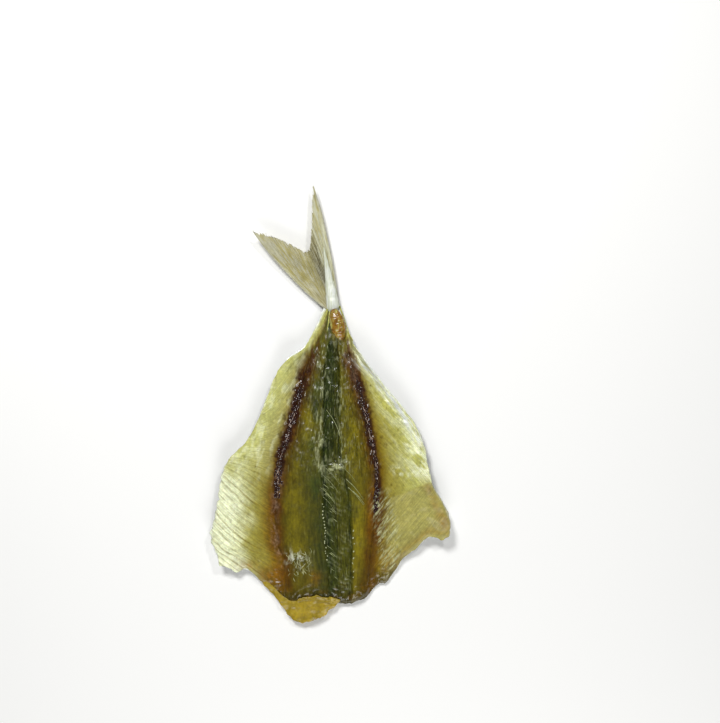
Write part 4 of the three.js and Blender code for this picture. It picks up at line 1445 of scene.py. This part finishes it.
class FISH_OT_torn_strip(Operator):
    """Builds the torn strip of belly wall that curls out past the neck cut"""

    bl_idname = "fish.torn_strip"
    bl_label = "Torn strip"
    thickness: length("Thickness", "Thickness of the torn strip", 0.8)

    def execute(self, context):
        route = [(-25.6, 7.6), (-21.4, 3.6), (-16.2, -1.6), (-12.0, -3.1), (-5.5, -1.4), (2.2, 0.5)]
        spine = smooth_curve(route, 161)
        share = np.linspace(0, 1, 161)
        places = [0, 0.08, 0.3, 0.4, 0.5, 0.62, 0.78, 0.92, 1]
        half = np.interp(share, places, [0.5, 1.0, 1.1, 1.9, 4.0, 4.2, 3.9, 1.9, 0.3])
        tangent = np.gradient(spine, axis=0)
        tangent /= np.linalg.norm(tangent, axis=1)[:, None]
        normal = np.stack([-tangent[:, 1], tangent[:, 0]], 1)
        share, side = np.meshgrid(share, np.linspace(-1, 1, 41), indexing="ij")
        rag = 1 + 0.16 * noise(share * 34, side * 0.6, 1.7, 101)
        place = spine[:, None, :] + normal[:, None, :] * (side * half[:, None] * rag)[..., None]
        x, y = place[..., 0], place[..., 1]
        trunk = Trunk()
        hang = 1.7 + 1.1 * smooth(0.36, 0.7, share)
        hang = hang + 0.5 * noise(x, y, 4.0, 103) + 0.06 * noise(x, y, 0.9, 107)
        inside = smooth(-0.9, 0.9, y - np.interp(x, trunk.neck[:, 0], trunk.neck[:, 1]))
        z = hang + (on_flesh(trunk, x, y) + 0.45 - hang) * inside * smooth(0.3, 0.5, share)
        z = np.maximum(z, 1.0)
        thick = self.thickness / MM * (0.45 + 0.55 * (1 - side**4))
        thick = thick * (0.6 + 0.4 * window(0.04, 0.96, 0.05, share))
        top, under = trunk.point(x, y, z + thick / 2), trunk.point(x, y, z - thick / 2)
        top, under = top.transpose(1, 0, 2)[:, ::-1], under.transpose(1, 0, 2)[:, ::-1]
        mesh = closed_sheet("torn_strip", top, under[::4, ::4], 4, fine_up=False)
        finish = plain_finish("torn_flesh", colours().strip, 3.4, rough=(0.34, 0.46), contrast=(0.68, 1.25),
                              Subsurface_Weight=0.2, Subsurface_Radius=(0.8, 0.5, 0.15),
                              Subsurface_Scale=0.001)
        link_piece("torn_strip", mesh, finish)
        return {"FINISHED"}


# ---------------------------------------------------------------- underside

class FISH_OT_scales(Operator):
    """Lays overlapping scales over the skin, in staggered rows from the tail to the neck"""

    bl_idname = "fish.scales"
    bl_label = "Scales"

    def execute(self, context):
        trunk = Trunk()
        rng = np.random.default_rng(11)
        size = trunk.scale_size
        spots = []
        for row, y in enumerate(np.arange(3, 101, size * 0.7)):
            along = y / TRUNK_LENGTH
            at = int((EDGE_POINTS - 1) * along)
            left, right = trunk.left[at, 0], trunk.right[at, 0]
            x = np.arange(left + 1.5 + (row % 2) * size / 2, right - 1.5, size)
            spots.append(np.column_stack([np.full(len(x), along), (x - left) / (right - left)]))
        along, across = np.vstack(spots).T
        count = len(along)
        across = across + rng.uniform(-0.002, 0.002, count)
        step = 0.004
        here = self.place(trunk, along, across)
        sideways = self.place(trunk, along, across + step) - self.place(trunk, along, across - step)
        forward = self.place(trunk, along + step, across) - self.place(trunk, along - step, across)
        normal = -np.cross(sideways, forward)
        normal /= np.linalg.norm(normal, axis=1)[:, None]
        forward /= np.linalg.norm(forward, axis=1)[:, None]
        facing = normal + forward * rng.uniform(0.05, 0.11, count)[:, None]
        keep = rng.uniform(0, 1, count) > 0.03
        width, reach = rng.uniform(0.56, 0.62, count) * size, rng.uniform(0.6, 0.68, count) * size
        spans = np.column_stack([width, reach, np.full(count, 0.07)])
        turns = turns_from(facing, forward)[keep]
        tree = cone_tree("scales", 9, 0.8)
        set_out("scales", here[keep], turns, spans[keep], scale_finish(), tree)
        return {"FINISHED"}

    @staticmethod
    def place(trunk, along, across):
        x, y = trunk.plan(along, across)
        return np.stack([x, y, trunk.lie(along, across, y)], 1)


class FISH_OT_back_fin(Operator):
    """Lays the spines of the back fin flat against the skin, folded towards the tail"""

    bl_idname = "fish.back_fin"
    bl_label = "Back fin"

    def execute(self, context):
        rng = np.random.default_rng(13)
        thick = Trunk().spine_thickness
        lines, radii = [], []
        for k, y in enumerate(np.r_[np.arange(16, 40, 2.9), np.arange(43, 92, 2.1)]):
            hard = y < 41
            reach = 9.5 - abs(k - 3) if hard else np.interp(y, [43, 52, 92], [7.0, 6.0, 3.2])
            reach = reach + rng.uniform(-0.4, 0.4)
            x = line_x(BACK_LINE, y)
            path = [(x, y, 0.30), (x + 0.9, y + 0.45 * reach, 0.24), (x + 1.9, y + reach, 0.16)]
            lines.append(smooth_curve(path, 14))
            radii.append(thick * (0.5 if hard else 0.34) * np.linspace(0.55, 0.16, 14))
        finish = plain_finish("back_spines", colours().ray, 0.8, rough=(0.3, 0.45), contrast=(0.7, 1.15))
        sweep("back_fin", lines, radii, 6, finish)
        return {"FINISHED"}


class FISH_OT_scutes(Operator):
    """Sets the row of hard keeled scutes along each side of the tail stalk"""

    bl_idname = "fish.scutes"
    bl_label = "Scutes"

    def execute(self, context):
        trunk = Trunk()
        along = np.tile(np.linspace(0.62, 0.955, 26), 2)
        across = np.repeat([0.3, 0.7], 26)
        x, y = trunk.plan(along, across)
        z = trunk.lie(along, across, y) - 0.06
        count = len(x)
        size = np.interp(along, [0.62, 0.86, 0.955], [0.55, 0.85, 0.6])
        facing = np.column_stack([0 * x, 0.15 + 0 * x, -1 + 0 * x])
        forward = np.column_stack([np.where(across < 0.5, 0.2, -0.2), np.ones(count), np.zeros(count)])
        spans = np.column_stack([size * 0.8, size * 1.1, np.full(count, 0.14)])
        finish = plain_finish("scute", colours().silver, 0.8, rough=(0.2, 0.35), contrast=(0.75, 1.05),
                              Metallic=0.5)
        turns = turns_from(facing, forward)
        points = np.column_stack([x, y, z])
        set_out("scutes", points, turns, spans, finish, cone_tree("scutes", 6, 0.25))
        return {"FINISHED"}


# ---------------------------------------------------------------- stage

class FISH_OT_stage(Operator):
    """Sets the plain floor, the soft lights and the camera that looks straight down"""

    bl_idname = "fish.stage"
    bl_label = "Stage"

    def execute(self, context):
        mesh = bpy.data.meshes.new("floor")
        below = LOW.z - 0.0002
        corners = [(x, y, below) for x, y in ((-2, -2), (2, -2), (2, 2), (-2, 2))]
        mesh.from_pydata(corners, [], [(0, 1, 2, 3)])
        mesh.materials.append(Finish("pale_floor").finish(colours().floor, 0.9, IOR=1.1))
        link("floor", mesh)
        self.light("key", (-0.12, 0.28, 0.42), 0.12, 1.9)
        self.light("fill", (0.06, -0.46, 0.26), 0.3, 1.7)
        self.light("glint", (0.16, 0.26, 0.40), 0.03, 0.5)
        world = bpy.data.worlds.new("studio")
        context.scene.world = world
        world.use_nodes = True
        sky = world.node_tree.nodes["Background"]
        sky.inputs["Color"].default_value = (1, 1, 1, 1)
        sky.inputs["Strength"].default_value = 0.12
        self.camera(context)
        context.scene.view_settings.view_transform = "Standard"
        return {"FINISHED"}

    @staticmethod
    def light(name, place, size, watts):
        """A square lamp that faces the fish. Its place and size are in metres."""
        data = bpy.data.lights.new(name, "AREA")
        data.size = size
        data.energy = watts
        lamp = link(name, data)
        lamp.location = place
        lamp.rotation_euler = (-lamp.location).to_track_quat("-Z", "Y").to_euler()

    @staticmethod
    def camera(context):
        """Straight above the fish, a little right of its middle and towards its tail."""
        data = bpy.data.cameras.new("camera")
        data.sensor_width = 36.0
        data.lens = 56.4
        data.clip_start = 0.01
        camera = link("camera", data)
        camera.location = (0.0104, 0.0148, 0.403)
        context.scene.camera = camera


class FISH_PT_panel(Panel):
    bl_idname = "FISH_PT_panel"
    bl_label = "Dried Fish"
    bl_space_type = "VIEW_3D"
    bl_region_type = "UI"
    bl_category = "Dried Fish"

    def draw(self, context):
        for operator in OPERATORS:
            self.layout.operator(operator.bl_idname)
        for group in (context.scene.fish_sizes, context.scene.fish_colours):
            for name in group.__annotations__:
                self.layout.prop(group, name)


OPERATORS = (
    FISH_OT_flesh, FISH_OT_skin, FISH_OT_scales, FISH_OT_tail_fin, FISH_OT_tail_stalk, FISH_OT_bones,
    FISH_OT_muscle_crust, FISH_OT_torn_shreds, FISH_OT_torn_strip, FISH_OT_back_fin, FISH_OT_scutes,
    FISH_OT_stage,
)
CLASSES = (FishSizes, FishColours, *OPERATORS, FISH_PT_panel)


def register():
    for cls in CLASSES:
        bpy.utils.register_class(cls)
    bpy.types.Scene.fish_sizes = PointerProperty(type=FishSizes)
    bpy.types.Scene.fish_colours = PointerProperty(type=FishColours)


def unregister():
    del bpy.types.Scene.fish_colours
    del bpy.types.Scene.fish_sizes
    for cls in reversed(CLASSES):
        bpy.utils.unregister_class(cls)


def main():
    register()
    bpy.ops.fish.flesh()
    bpy.ops.fish.skin()
    bpy.ops.fish.scales()
    bpy.ops.fish.tail_fin()
    bpy.ops.fish.tail_stalk()
    bpy.ops.fish.bones()
    bpy.ops.fish.muscle_crust()
    bpy.ops.fish.torn_shreds()
    bpy.ops.fish.torn_strip()
    bpy.ops.fish.back_fin()
    bpy.ops.fish.scutes()
    bpy.ops.fish.stage()


if __name__ == "__main__":
    main()
